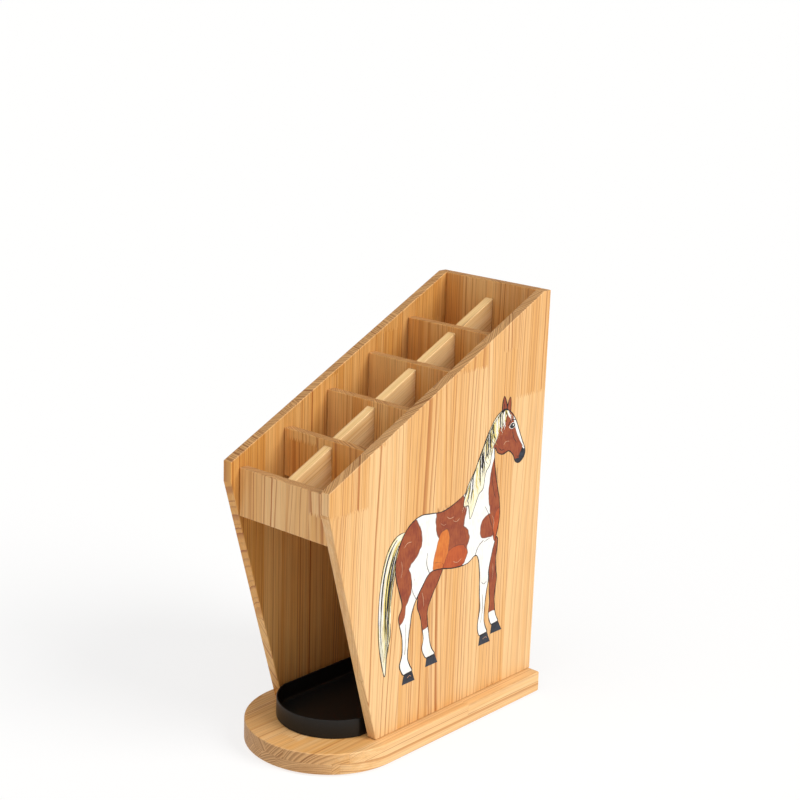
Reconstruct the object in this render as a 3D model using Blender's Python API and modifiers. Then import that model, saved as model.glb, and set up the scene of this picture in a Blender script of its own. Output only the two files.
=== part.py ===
"""Umbrella stand: a pine housing of ten sloping compartments on a round-nosed base, with a drip tray.

Lengths are in metres. +Z is up, and the low, open front faces -Y. The origin is on the floor, under the
middle of the base board.
"""

import math

import bmesh
import bpy
from mathutils import Matrix

# Clearance between pieces that touch or nest
GAP = 0.0003

# Overall sizes
BODY_WIDTH = 0.180
BODY_DEPTH_AT_FOOT = 0.3135
BODY_DEPTH_AT_TOP = 0.407
BASE_DEPTH = 0.413
BASE_MARGIN = 0.017
BASE_LAYER = 0.014

# Side panel heights above the top of the base
NOSE_LOW = 0.317
NOSE_HIGH = 0.343
BACK_HIGH = 0.531

# Board thicknesses
PANEL_THICK = 0.014
DIVIDER_THICK = 0.013

# Compartments
DIVIDER_COUNT = 4
DIVIDER_PITCH = 0.0758
DIVIDER_HEIGHT = 0.0625
DIVIDER_DROP = 0.0155
CENTRE_HEIGHT = 0.055
CENTRE_DROP = 0.023

# Drip tray
TRAY_WIDTH = 0.138
TRAY_NOSE = 0.0505
TRAY_OVERHANG = 0.0565
TRAY_HEIGHT = 0.025
TRAY_WALL = 0.002
TRAY_BACK_CLEARANCE = 0.004
TRAY_BACK_CORNER = 0.008

# Dowels
DOWEL_RADIUS = 0.003
DOWEL_LENGTH = 0.024
DOWEL_IN_PANEL = 0.010
DOWEL_IN_FACE = 0.008
DOWEL_EDGE_DISTANCE = 0.015
DOWEL_SIDES = 12
BACK_DOWEL_HEIGHTS = (0.060, 0.265, 0.470)

# Base screws
SCREW_RADIUS = 0.002
SCREW_HEAD_RADIUS = 0.004
SCREW_HEAD_HEIGHT = 0.003
SCREW_LENGTH = 0.048
SCREW_POINT = 0.005
SCREW_RECESS = 0.003
SCREW_END_DISTANCE = 0.035
BACK_SCREW_X = 0.045
SLOT_LENGTH = 0.0045
SLOT_WIDTH = 0.0010
SLOT_DEPTH = 0.0018

# Rubber feet
FOOT_GAP = 0.0025
FOOT_RADIUS = 0.009
FOOT_STEM_RADIUS = 0.003
FOOT_STEM_LENGTH = 0.009
FOOT_INSET = 0.019
FOOT_MIDDLE_Y = -0.035

# Curve fineness
TURN_STEPS = 16
NOSE_STEPS = 40
TRAY_STEPS = 28
CORNER_STEPS = 4
FLAT_ANGLE = math.radians(0.5)

# Places that follow from the sizes
BACK_Y = BASE_DEPTH / 2
FOOT_FRONT_Y = BACK_Y - BODY_DEPTH_AT_FOOT
TOP_FRONT_Y = BACK_Y - BODY_DEPTH_AT_TOP
BACK_PANEL_Y = BACK_Y - PANEL_THICK
BASE_HALF = BODY_WIDTH / 2 + BASE_MARGIN
BASE_TOP = FOOT_GAP + 2 * BASE_LAYER
DECK_Z = BASE_TOP + GAP
PANEL_X = (BODY_WIDTH - PANEL_THICK) / 2
INNER_HALF = BODY_WIDTH / 2 - PANEL_THICK
BOARD_LENGTH = 2 * (INNER_HALF - GAP)
SLOPE = (BACK_HIGH - NOSE_HIGH) / (BACK_PANEL_Y - TOP_FRONT_Y)
RAIL_Y = BACK_PANEL_Y - (DIVIDER_COUNT + 1) * DIVIDER_PITCH
RAIL_BACK_Y = RAIL_Y + DIVIDER_THICK
DIVIDER_FRONTS = [RAIL_Y + row * DIVIDER_PITCH for row in range(1, DIVIDER_COUNT + 1)]

# How a piece made along Z is turned to lie along another axis
ALONG = {"X": (0, math.pi / 2, 0), "Y": (math.pi / 2, 0, 0), "Z": (0, 0, 0)}
# How an outline drawn in XY is stood up in the YZ plane
UPRIGHT = (math.pi / 2, 0, math.pi / 2)

PINE = ("pine", (0.78, 0.57, 0.33), 0.45, 0.0)
PALE_PINE = ("pale_pine", (0.85, 0.69, 0.46), 0.45, 0.0)
BEECH = ("beech", (0.76, 0.60, 0.42), 0.6, 0.0)
BLACK_PLASTIC = ("black_plastic", (0.02, 0.02, 0.02), 0.4, 0.0)
STEEL = ("zinc_steel", (0.70, 0.70, 0.68), 0.35, 1.0)
RUBBER = ("rubber", (0.03, 0.03, 0.03), 0.8, 0.0)


# Scene, collections and materials


def clear_scene():
    """Removes every object, so that the script starts from an empty scene."""
    for item in list(bpy.data.objects):
        bpy.data.objects.remove(item, do_unlink=True)


def new_collection(name):
    """A collection in the scene."""
    group = bpy.data.collections.new(name)
    bpy.context.scene.collection.children.link(group)
    return group


def material(finish):
    """The Principled material of a finish, made the first time that it is asked for."""
    name, colour, roughness, metallic = finish
    found = bpy.data.materials.get(name)
    if found:
        return found
    made = bpy.data.materials.new(name)
    made.use_nodes = True
    shader = made.node_tree.nodes["Principled BSDF"]
    shader.inputs["Base Color"].default_value = (*colour, 1.0)
    shader.inputs["Roughness"].default_value = roughness
    shader.inputs["Metallic"].default_value = metallic
    made.diffuse_color = (*colour, 1.0)
    return made


def add_piece(item, finish):
    """Puts a finished piece in the stand's collection and gives it its material."""
    STAND.objects.link(item)
    item.parent = STAND_ROOT
    item.data.materials.clear()
    item.data.materials.append(material(finish))
    return item


def add_cutter(item, *boards):
    """Hides a cutter and lists it as a cutter of each board."""
    item.hide_render = True
    item.display_type = "WIRE"
    CUTTERS.objects.link(item)
    for board in boards:
        CUTTERS_OF.setdefault(board, []).append(item)


# Shapes


def mesh_object(name, shape, centre, turn=(0, 0, 0)):
    """An object with the faces of a bmesh, which it frees."""
    mesh = bpy.data.meshes.new(name)
    shape.to_mesh(mesh)
    shape.free()
    item = bpy.data.objects.new(name, mesh)
    item.location = centre
    item.rotation_euler = turn
    return item


def box(name, size, centre):
    """A box of a size about its centre."""
    shape = bmesh.new()
    bmesh.ops.create_cube(shape, size=1.0, matrix=Matrix.Diagonal((*size, 1.0)))
    return mesh_object(name, shape, centre)


def cylinder(name, radius, length, centre, axis):
    """A closed cylinder along one axis about its centre."""
    shape = bmesh.new()
    bmesh.ops.create_cone(
        shape, cap_ends=True, segments=DOWEL_SIDES, radius1=radius, radius2=radius, depth=length
    )
    return mesh_object(name, shape, centre, ALONG[axis])


def plate(name, outline, thickness, centre, turn=(0, 0, 0)):
    """A board of a flat outline, its thickness shared about its middle plane."""
    curve = bpy.data.curves.new(name, "CURVE")
    curve.dimensions = "2D"
    curve.fill_mode = "BOTH"
    curve.extrude = thickness / 2
    line = curve.splines.new("POLY")
    line.points.add(len(outline) - 1)
    for point, (across, along) in zip(line.points, outline):
        point.co = (across, along, 0, 1)
    line.use_cyclic_u = True

    drawn = bpy.data.objects.new(name + "_outline", curve)
    bpy.context.scene.collection.objects.link(drawn)
    mesh = bpy.data.meshes.new_from_object(drawn.evaluated_get(bpy.context.evaluated_depsgraph_get()))
    bpy.data.objects.remove(drawn)

    shape = bmesh.new()
    shape.from_mesh(mesh)
    bmesh.ops.remove_doubles(shape, verts=shape.verts, dist=GAP / 10)
    bmesh.ops.dissolve_limit(shape, angle_limit=FLAT_ANGLE, verts=shape.verts, edges=shape.edges)
    bmesh.ops.recalc_face_normals(shape, faces=shape.faces)
    return mesh_object(name, shape, centre, turn)


def turned(name, profile, location):
    """A round piece: the profile, as (radius, height) from top to bottom, swept about Z."""
    points = [(radius, 0, height) for radius, height in profile]
    edges = [(at, at + 1) for at in range(len(points) - 1)]
    mesh = bpy.data.meshes.new(name)
    mesh.from_pydata(points, edges, [])
    item = bpy.data.objects.new(name, mesh)
    item.location = location
    sweep = item.modifiers.new("turn", "SCREW")
    sweep.steps = TURN_STEPS
    sweep.render_steps = TURN_STEPS
    sweep.use_merge_vertices = True
    sweep.merge_threshold = GAP / 10
    return item


def arc(centre, radius, start, end, steps):
    """Points along a circle, both ends included."""
    points = []
    for step in range(steps + 1):
        angle = start + (end - start) * step / steps
        points.append((centre[0] + radius * math.cos(angle), centre[1] + radius * math.sin(angle)))
    return points


def cut_boards():
    """Gives each board one Boolean for each of its cutters."""
    for board, cutters in CUTTERS_OF.items():
        for cutter in cutters:
            cut = board.modifiers.new("cut_" + cutter.name, "BOOLEAN")
            cut.operation = "DIFFERENCE"
            cut.solver = "EXACT"
            cut.object = cutter


# Heights along the slope


def slope_height(y):
    """Height of the side panels' sloping top above the floor."""
    return BASE_TOP + NOSE_HIGH + SLOPE * (y - TOP_FRONT_Y)


def divider_top(front_y):
    """Top of the rail or of a cross divider whose front face is at a place along the slope."""
    return slope_height(front_y) - DIVIDER_DROP


def lap_height(front_y):
    """Where the two halves of a half-lap meet: midway through the timber that the boards share."""
    centre_top = slope_height(front_y + DIVIDER_THICK / 2) - CENTRE_DROP
    return (divider_top(front_y) - DIVIDER_HEIGHT + centre_top) / 2


# Housing


def make_base_layer(name, bottom_z):
    """One of the base's two glued layers: square at the back, a half circle at the front."""
    nose = arc((0, BASE_HALF - BASE_DEPTH / 2), BASE_HALF, -math.pi, 0, NOSE_STEPS)
    outline = nose + [(BASE_HALF, BACK_Y), (-BASE_HALF, BACK_Y)]
    thickness = BASE_LAYER - GAP / 2
    return add_piece(plate(name, outline, thickness, (0, 0, bottom_z + thickness / 2)), PINE)


def make_side_panel(name, side):
    """A side panel: upright back, sloping top, short upright nose, and a front edge that leans out."""
    outline = [
        (FOOT_FRONT_Y, DECK_Z),
        (BACK_Y, DECK_Z),
        (BACK_Y, BASE_TOP + BACK_HIGH),
        (BACK_PANEL_Y, BASE_TOP + BACK_HIGH),
        (TOP_FRONT_Y, BASE_TOP + NOSE_HIGH),
        (TOP_FRONT_Y, BASE_TOP + NOSE_LOW),
    ]
    board = plate(name, outline, PANEL_THICK, (side * PANEL_X, 0, 0), UPRIGHT)
    return add_piece(board, PINE)


def make_back_panel():
    """The back panel, between the side panels."""
    height = BASE_TOP + BACK_HIGH - DECK_Z
    centre = (0, BACK_Y - PANEL_THICK / 2, DECK_Z + height / 2)
    return add_piece(box("back_panel", (BOARD_LENGTH, PANEL_THICK, height), centre), PINE)


def make_crosswise_board(name, front_y):
    """The front rail or a cross divider."""
    centre = (0, front_y + DIVIDER_THICK / 2, divider_top(front_y) - DIVIDER_HEIGHT / 2)
    board = box(name, (BOARD_LENGTH, DIVIDER_THICK, DIVIDER_HEIGHT), centre)
    return add_piece(board, PINE)


def make_centre_divider():
    """The long sloping board from the rail to the back panel."""
    front_y = RAIL_BACK_Y + GAP
    back_y = BACK_PANEL_Y - GAP
    front_top = slope_height(front_y) - CENTRE_DROP
    back_top = slope_height(back_y) - CENTRE_DROP
    outline = [
        (front_y, front_top - CENTRE_HEIGHT),
        (back_y, back_top - CENTRE_HEIGHT),
        (back_y, back_top),
        (front_y, front_top),
    ]
    board = plate("centre_divider", outline, DIVIDER_THICK, (0, 0, 0), UPRIGHT)
    return add_piece(board, PALE_PINE)


def lap_joint(divider, centre, front_y):
    """A slot from below in the cross divider and one from above in the centre divider."""
    meeting = lap_height(front_y)
    width = DIVIDER_THICK + 2 * GAP
    middle_y = front_y + DIVIDER_THICK / 2
    reach = DIVIDER_HEIGHT
    lower = (0, middle_y, meeting + GAP / 2 - reach / 2)
    upper = (0, middle_y, meeting - GAP / 2 + reach / 2)
    add_cutter(box(divider.name + "_lap", (width, 2 * width, reach), lower), divider)
    add_cutter(box("centre_lap_at_" + divider.name, (2 * width, width, reach), upper), centre)


# Fasteners


def dowel(name, centre, axis, boards):
    """A dowel and the blind holes that it fits in."""
    hole = cylinder(name + "_hole", DOWEL_RADIUS + GAP, DOWEL_LENGTH + 2 * GAP, centre, axis)
    add_cutter(hole, *boards)
    return add_piece(cylinder(name, DOWEL_RADIUS, DOWEL_LENGTH, centre, axis), BEECH)


def dowel_board_ends(board, y, heights, sides):
    """Dowels between the two ends of a board and the side panels."""
    for label, sign, panel in sides:
        x = sign * (INNER_HALF + DOWEL_IN_PANEL - DOWEL_LENGTH / 2)
        for number, height in enumerate(heights, 1):
            dowel(f"dowel_{board.name}_{label}_{number}", (x, y, height), "X", (board, panel))


def dowel_centre_ends(centre, rail, back):
    """One dowel from the centre divider into the rail and one into the back panel."""
    reach = DOWEL_LENGTH / 2 - DOWEL_IN_FACE
    front_y = RAIL_BACK_Y + reach
    back_y = BACK_PANEL_Y - reach
    middle = CENTRE_DROP + CENTRE_HEIGHT / 2
    front = (0, front_y, slope_height(front_y) - middle)
    rear = (0, back_y, slope_height(back_y) - middle)
    dowel("dowel_centre_divider_front", front, "Y", (centre, rail))
    dowel("dowel_centre_divider_back", rear, "Y", (centre, back))


def screw_profile(clearance, tail):
    """A countersunk screw, point up, from its point down to the foot of its head and any tail below."""
    shank = SCREW_RADIUS + clearance
    head = SCREW_HEAD_RADIUS + clearance
    top = SCREW_LENGTH + clearance
    return [
        (0, top),
        (shank, top - SCREW_POINT),
        (shank, SCREW_HEAD_HEIGHT),
        (head, 0),
        (head, -tail),
        (0, -tail),
    ]


def make_screw_mesh():
    """The mesh that all the base screws share: a countersunk screw with a cross slot."""
    rim = SCREW_HEAD_HEIGHT / 6
    blank = turned("screw_blank", screw_profile(0, rim), (0, 0, 0))
    CUTTERS.objects.link(blank)
    for label, size in (
        ("a", (SLOT_LENGTH, SLOT_WIDTH, 2 * SLOT_DEPTH)),
        ("b", (SLOT_WIDTH, SLOT_LENGTH, 2 * SLOT_DEPTH)),
    ):
        add_cutter(box("screw_slot_" + label, size, (0, 0, -rim)), blank)
        cut = blank.modifiers.new("slot_" + label, "BOOLEAN")
        cut.operation = "DIFFERENCE"
        cut.solver = "EXACT"
        cut.object = CUTTERS_OF[blank][-1]
    del CUTTERS_OF[blank]
    evaluated = blank.evaluated_get(bpy.context.evaluated_depsgraph_get())
    mesh = bpy.data.meshes.new_from_object(evaluated)
    bpy.data.objects.remove(blank)
    return mesh


def base_screw(name, mesh, place, boards):
    """A screw driven up through both layers of the base, with its countersunk hole."""
    head_z = FOOT_GAP + SCREW_RECESS
    location = (*place, head_z)
    hole = turned(name + "_hole", screw_profile(GAP, 2 * SCREW_RECESS), location)
    add_cutter(hole, *boards)
    screw = bpy.data.objects.new(name, mesh)
    screw.location = location
    add_piece(screw, STEEL)


def make_base_screws(layers, sides, back):
    """Three screws into each side panel and two into the back panel."""
    mesh = make_screw_mesh()
    first = FOOT_FRONT_Y + SCREW_END_DISTANCE
    last = BACK_Y - SCREW_END_DISTANCE
    for label, sign, panel in sides:
        for number, y in enumerate((first, (first + last) / 2, last), 1):
            base_screw(f"screw_{label}_{number}", mesh, (sign * PANEL_X, y), (*layers, panel))
        place = (sign * BACK_SCREW_X, BACK_Y - PANEL_THICK / 2)
        base_screw(f"screw_back_{label}", mesh, place, (*layers, back))


def make_feet(lower_layer):
    """Five push-in rubber feet: two at the back, two under the sides and one under the nose."""
    pad = FOOT_GAP - GAP
    profile = [
        (0, pad + FOOT_STEM_LENGTH),
        (FOOT_STEM_RADIUS, pad + FOOT_STEM_LENGTH),
        (FOOT_STEM_RADIUS, pad),
        (FOOT_RADIUS, pad),
        (FOOT_RADIUS, 0),
        (0, 0),
    ]
    side_x = BASE_HALF - FOOT_INSET
    places = {
        "back_left": (-side_x, BACK_Y - FOOT_INSET),
        "back_right": (side_x, BACK_Y - FOOT_INSET),
        "middle_left": (-side_x, FOOT_MIDDLE_Y),
        "middle_right": (side_x, FOOT_MIDDLE_Y),
        "front": (0, FOOT_INSET - BASE_DEPTH / 2),
    }
    socket_top = pad + FOOT_STEM_LENGTH + GAP
    for label, (x, y) in places.items():
        add_piece(turned("foot_" + label, profile, (x, y, 0)), RUBBER)
        radius = FOOT_STEM_RADIUS + GAP
        add_cutter(cylinder(f"foot_{label}_socket", radius, 2 * socket_top, (x, y, 0), "Z"), lower_layer)


# Drip tray


def tray_outline(inset):
    """The tray's outline seen from above, drawn in by a wall thickness or not at all."""
    half = TRAY_WIDTH / 2
    radius = (half**2 + TRAY_NOSE**2) / (2 * TRAY_NOSE)
    nose_y = FOOT_FRONT_Y - TRAY_OVERHANG + radius
    half_inset = half - inset
    spread = math.asin(half_inset / (radius - inset))
    nose = arc((0, nose_y), radius - inset, -math.pi / 2 - spread, -math.pi / 2 + spread, TRAY_STEPS)
    back_y = BACK_PANEL_Y - TRAY_BACK_CLEARANCE - inset
    corner = TRAY_BACK_CORNER - inset
    right = arc((half_inset - corner, back_y - corner), corner, 0, math.pi / 2, CORNER_STEPS)
    left = arc((corner - half_inset, back_y - corner), corner, math.pi / 2, math.pi, CORNER_STEPS)
    return nose + right + left


def make_tray():
    """The drip tray: a shallow open tray that stands loose on the base and slides out of the front."""
    tray = plate("drip_tray", tray_outline(0), TRAY_HEIGHT, (0, 0, DECK_Z + TRAY_HEIGHT / 2))
    hollow_z = DECK_Z + TRAY_WALL + TRAY_HEIGHT / 2
    add_cutter(plate("tray_hollow", tray_outline(TRAY_WALL), TRAY_HEIGHT, (0, 0, hollow_z)), tray)
    return add_piece(tray, BLACK_PLASTIC)


def make_stand():
    """Builds every piece of the stand."""
    lower_layer = make_base_layer("base_lower", FOOT_GAP)
    upper_layer = make_base_layer("base_upper", FOOT_GAP + BASE_LAYER + GAP / 2)
    left = make_side_panel("side_panel_left", -1)
    right = make_side_panel("side_panel_right", 1)
    sides = (("left", -1, left), ("right", 1, right))
    back = make_back_panel()
    rail = make_crosswise_board("front_rail", RAIL_Y)
    centre = make_centre_divider()
    dividers = []
    for number, front_y in enumerate(DIVIDER_FRONTS, 1):
        divider = make_crosswise_board(f"cross_divider_{number}", front_y)
        lap_joint(divider, centre, front_y)
        dividers.append((divider, front_y))

    for board, front_y in [(rail, RAIL_Y), *dividers]:
        top = divider_top(front_y) - DOWEL_EDGE_DISTANCE
        low = divider_top(front_y) - DIVIDER_HEIGHT + DOWEL_EDGE_DISTANCE
        dowel_board_ends(board, front_y + DIVIDER_THICK / 2, (low, top), sides)
    back_heights = [BASE_TOP + height for height in BACK_DOWEL_HEIGHTS]
    dowel_board_ends(back, BACK_Y - PANEL_THICK / 2, back_heights, sides)
    dowel_centre_ends(centre, rail, back)

    make_base_screws((lower_layer, upper_layer), sides, back)
    make_feet(lower_layer)
    make_tray()
    cut_boards()


clear_scene()
STAND = new_collection("umbrella_stand")
CUTTERS = new_collection("cutters")
CUTTERS_OF = {}
STAND_ROOT = bpy.data.objects.new("umbrella_stand_root", None)
STAND.objects.link(STAND_ROOT)
make_stand()
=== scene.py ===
"""Looks of a pine umbrella stand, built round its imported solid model.

The stand is a sloping pine housing of ten compartments on a two-layer base with a round nose. A black drip
tray stands on the base, and a horse is painted on the right side panel. Lengths are in metres, +Z is up, and
the low, open front faces -Y.
"""

from __future__ import annotations

import logging
import math
from collections.abc import Iterator, Sequence
from dataclasses import dataclass, replace
from enum import Enum
import bmesh
import bpy
from bmesh.types import BMesh, BMFace, BMVert
from bpy.types import Material, Mesh, Node, NodeSocket, NodeTree, Object
from mathutils import Matrix, Vector
from mathutils.geometry import tessellate_polygon


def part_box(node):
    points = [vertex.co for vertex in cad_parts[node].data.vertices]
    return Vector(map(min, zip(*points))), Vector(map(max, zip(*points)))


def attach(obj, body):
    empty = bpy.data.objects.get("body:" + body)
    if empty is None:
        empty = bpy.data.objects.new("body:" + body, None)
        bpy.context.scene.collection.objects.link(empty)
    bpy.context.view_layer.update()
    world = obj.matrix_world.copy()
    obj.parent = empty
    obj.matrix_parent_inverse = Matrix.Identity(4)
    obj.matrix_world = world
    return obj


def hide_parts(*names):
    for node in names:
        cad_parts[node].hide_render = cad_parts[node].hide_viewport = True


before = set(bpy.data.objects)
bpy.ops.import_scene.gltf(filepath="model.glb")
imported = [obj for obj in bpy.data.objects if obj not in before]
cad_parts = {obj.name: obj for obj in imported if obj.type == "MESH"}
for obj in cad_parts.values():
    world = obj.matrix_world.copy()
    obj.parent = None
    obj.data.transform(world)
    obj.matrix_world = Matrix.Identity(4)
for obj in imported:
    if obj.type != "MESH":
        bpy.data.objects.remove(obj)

LOG = logging.getLogger("umbrella_stand")
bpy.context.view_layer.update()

MM = 0.001
Point = tuple[float, float]
Triple = tuple[float, float, float]
Value = float | NodeSocket

FLOAT = "NodeSocketFloat"
INTEGER = "NodeSocketInt"
VECTOR = "NodeSocketVector"
COLOUR = "NodeSocketColor"
GEOMETRY = "NodeSocketGeometry"
MATERIAL = "NodeSocketMaterial"
SHADING = "ShaderNodeTree"
MODELLING = "GeometryNodeTree"

# What meshes carry on their points and corners
ROUNDED = "rounded"
TONE = "tone"
LEVEL = "level"
WIDTH = "width"


class Body(Enum):
    """The two bodies of the stand that pieces ride on."""

    STAND = "stand"
    TRAY = "tray"


class Slot(Enum):
    """The record's material slots."""

    PINE = "pine"
    PALE_PINE = "pale_pine"
    BEECH = "dowel_beech"
    BLACK_PLASTIC = "black_plastic"
    ZINC = "zinc_steel"
    RUBBER = "rubber"


class Grain(Enum):
    """Which way a board's grain runs, as the turn that brings it to Z and the board's width to X."""

    UP_ACROSS_X = (0.0, 0.0, 0.0)
    UP_ACROSS_Y = (0.0, 0.0, -math.pi / 2)
    FRONT_TO_BACK = (math.pi / 2, 0.0, 0.0)
    ALONG_X = (0.0, -math.pi / 2, 0.0)


# --------------------------------------------------------------------------------------------------
# Node trees


class Tree:
    """Adds and wires nodes in one node tree."""

    def __init__(self, tree: NodeTree) -> None:
        """Keeps the tree that nodes are added to."""
        self.tree = tree

    def node(self, kind: str, feeds: dict[str, object] | None = None, **settings: object) -> Node:
        """Adds a node.

        Args:
            kind: The node's type name.
            feeds: What goes into its inputs, by their names.
            **settings: Properties to set on it first.

        Returns:
            The node.
        """
        made = self.tree.nodes.new(kind)
        for name, value in settings.items():
            setattr(made, name, value)
        for name, value in (feeds or {}).items():
            self.feed(made.inputs[name], value)
        return made

    def feed(self, socket: NodeSocket, value: object) -> None:
        """Links a socket to another one, or sets its plain value.

        Args:
            socket: The input.
            value: A socket, a plain value, or None to leave the input alone.
        """
        if isinstance(value, NodeSocket):
            self.tree.links.new(value, socket)
        elif value is not None:
            socket.default_value = (*value, 1.0) if socket.type == "RGBA" else value

    def feed_all(self, node: Node, *values: object) -> NodeSocket:
        """Feeds a node's inputs in their order.

        Args:
            node: The node.
            *values: A value for each input, from the first one on.

        Returns:
            The node's first output.
        """
        for socket, value in zip(node.inputs, values):
            self.feed(socket, value)
        return node.outputs[0]

    def math(self, operation: str, *values: Value, clamp: bool = False) -> NodeSocket:
        """The result of a Math node."""
        return self.feed_all(self.node("ShaderNodeMath", operation=operation, use_clamp=clamp), *values)

    def plus(self, first: Value, second: Value, clamp: bool = False) -> NodeSocket:
        """The sum of two values."""
        return self.math("ADD", first, second, clamp=clamp)

    def minus(self, first: Value, second: Value) -> NodeSocket:
        """The difference of two values."""
        return self.math("SUBTRACT", first, second)

    def over(self, first: Value, second: Value) -> NodeSocket:
        """One value divided by another."""
        return self.math("DIVIDE", first, second)

    def times(self, first: Value, *others: Value, clamp: bool = False) -> NodeSocket:
        """The product of values.

        Args:
            first: The first value.
            *others: The values that it is multiplied by, in turn.
            clamp: Whether the product is kept between 0 and 1.

        Returns:
            The product.
        """
        for other in others:
            first = self.math("MULTIPLY", first, other, clamp=clamp)
        return first

    def swing(self, value: Value, reach: Value) -> NodeSocket:
        """A value between 0 and 1, moved to lie about zero and stretched over a reach."""
        return self.times(self.minus(value, 0.5), reach)

    def vector(self, operation: str, first: object, second: object = None) -> NodeSocket:
        """The result of a Vector Math node.

        Args:
            operation: What it does.
            first: The first vector.
            second: The second vector, where there is one.

        Returns:
            The vector, or the value for a length.
        """
        made = self.node("ShaderNodeVectorMath", operation=operation)
        self.feed_all(made, first, second)
        return made.outputs["Value" if operation == "LENGTH" else "Vector"]

    def scaled(self, vector: object, scale: Value) -> NodeSocket:
        """A vector or a colour, times a value."""
        made = self.node("ShaderNodeVectorMath", {"Vector": vector, "Scale": scale}, operation="SCALE")
        return made.outputs[0]

    def split(self, vector: NodeSocket) -> Sequence[NodeSocket]:
        """The X, Y and Z of a vector."""
        return self.node("ShaderNodeSeparateXYZ", {"Vector": vector}).outputs

    def join(self, x: Value, y: Value, z: Value) -> NodeSocket:
        """A vector of three values."""
        return self.feed_all(self.node("ShaderNodeCombineXYZ"), x, y, z)

    def remap(self, value: Value, low: Value, high: Value, to_low: Value = 0.0, to_high: Value = 1.0,
              ramp: str = "SMOOTHSTEP") -> NodeSocket:
        """Maps a range of a value to another range, and keeps to it."""
        made = self.node("ShaderNodeMapRange", interpolation_type=ramp)
        return self.feed_all(made, value, low, high, to_low, to_high)

    def spread(self, luck: Value, least: Value, most: Value) -> NodeSocket:
        """A random number between 0 and 1, spread evenly over a range."""
        return self.remap(luck, 0.0, 1.0, least, most, "LINEAR")

    def mix(self, factor: Value, first: object, second: object) -> NodeSocket:
        """Mixes two colours.

        Args:
            factor: The second colour's share.
            first: The first colour.
            second: The second colour.

        Returns:
            The mixed colour.
        """
        made = self.node("ShaderNodeMix", {"Factor": factor}, data_type="RGBA")
        sockets = {socket.identifier: socket for socket in (*made.inputs, *made.outputs)}
        self.feed(sockets["A_Color"], first)
        self.feed(sockets["B_Color"], second)
        return sockets["Result_Color"]

    def noise(self, vector: NodeSocket, scale: float, detail: float = 2.0, roughness: float = 0.5
              ) -> NodeSocket:
        """A noise value about 0.5."""
        feeds = {"Vector": vector, "Scale": scale, "Detail": detail, "Roughness": roughness}
        return self.node("ShaderNodeTexNoise", feeds, noise_dimensions="3D").outputs[0]

    def drawn_noise(self, place: NodeSocket, stretch: Triple, detail: float = 2.0, roughness: float = 0.5
                    ) -> NodeSocket:
        """A noise value about 0.5, with its own scale along each axis."""
        return self.noise(self.vector("MULTIPLY", place, stretch), 1.0, detail, roughness)

    def chance(self, vector: NodeSocket) -> Sequence[NodeSocket]:
        """Three random numbers that are the same wherever the vector is the same."""
        made = self.node("ShaderNodeTexWhiteNoise", {"Vector": vector}, noise_dimensions="3D")
        return self.node("ShaderNodeSeparateColor", {"Color": made.outputs["Color"]}).outputs


def new_group(name: str, kind: str, inputs: dict[str, object], outputs: dict[str, str]
              ) -> tuple[Tree, Sequence[NodeSocket], Sequence[NodeSocket]]:
    """Makes a node group with named sockets.

    Args:
        name: The group's name.
        kind: The tree's type, for shading or for geometry.
        inputs: For each input, its kind or the number that it starts from.
        outputs: For each output, its kind.

    Returns:
        The tree's helper, the sockets that it is given and the sockets of its result.
    """
    tree = bpy.data.node_groups.new(name, kind)
    for direction, sockets in (("INPUT", inputs), ("OUTPUT", outputs)):
        for label, about in sockets.items():
            number_kind = INTEGER if isinstance(about, int) else FLOAT
            socket_kind = about if isinstance(about, str) else number_kind
            made = tree.interface.new_socket(label, in_out=direction, socket_type=socket_kind)
            if not isinstance(about, str):
                made.default_value = about
    helper = Tree(tree)
    return helper, helper.node("NodeGroupInput").outputs, helper.node("NodeGroupOutput").inputs


@dataclass(frozen=True)
class Sawmill:
    """How the logs grew and how they were sawn and glued, in metres and in shares."""

    strip_waver: float = 0.3
    waver_turns: float = 57.0
    finger_pitch: float = 0.0021
    finger_slope: float = 2.6
    pith_angle: Point = (0.40, 1.05)
    pith_reach: Point = (0.05, 0.15)
    log_shift: float = 0.37
    drift: float = 0.014
    drift_scale: Triple = (7.0, 7.0, 1.5)
    ripple: float = 0.0010
    ripple_scale: Triple = (80.0, 80.0, 9.0)
    slope: float = 0.022
    gap_spread: Point = (0.5, 1.5)
    seasons: float = 2.6
    season_scale: float = 0.55
    lean_years: float = 1.4
    faintest_ring: float = 0.24
    latewood_onset: Point = (0.35, 0.7)
    fibre_scale: Triple = (900.0, 900.0, 22.0)
    streak_scale: Triple = (210.0, 210.0, 3.0)
    cloud_scale: Triple = (16.0, 16.0, 4.0)
    band_scale: float = 70.0
    streak_tone: float = 1.9
    band_tone: float = 1.6
    cut_latewood: Triple = (0.42, 0.315, 0.25)
    cut_share: float = 0.86
    pore_scale: float = 1700.0
    strip_line: Point = (0.00006, 0.00028)
    block_line: Point = (0.0001, 0.0005)
    glue_share: float = 0.33


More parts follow.
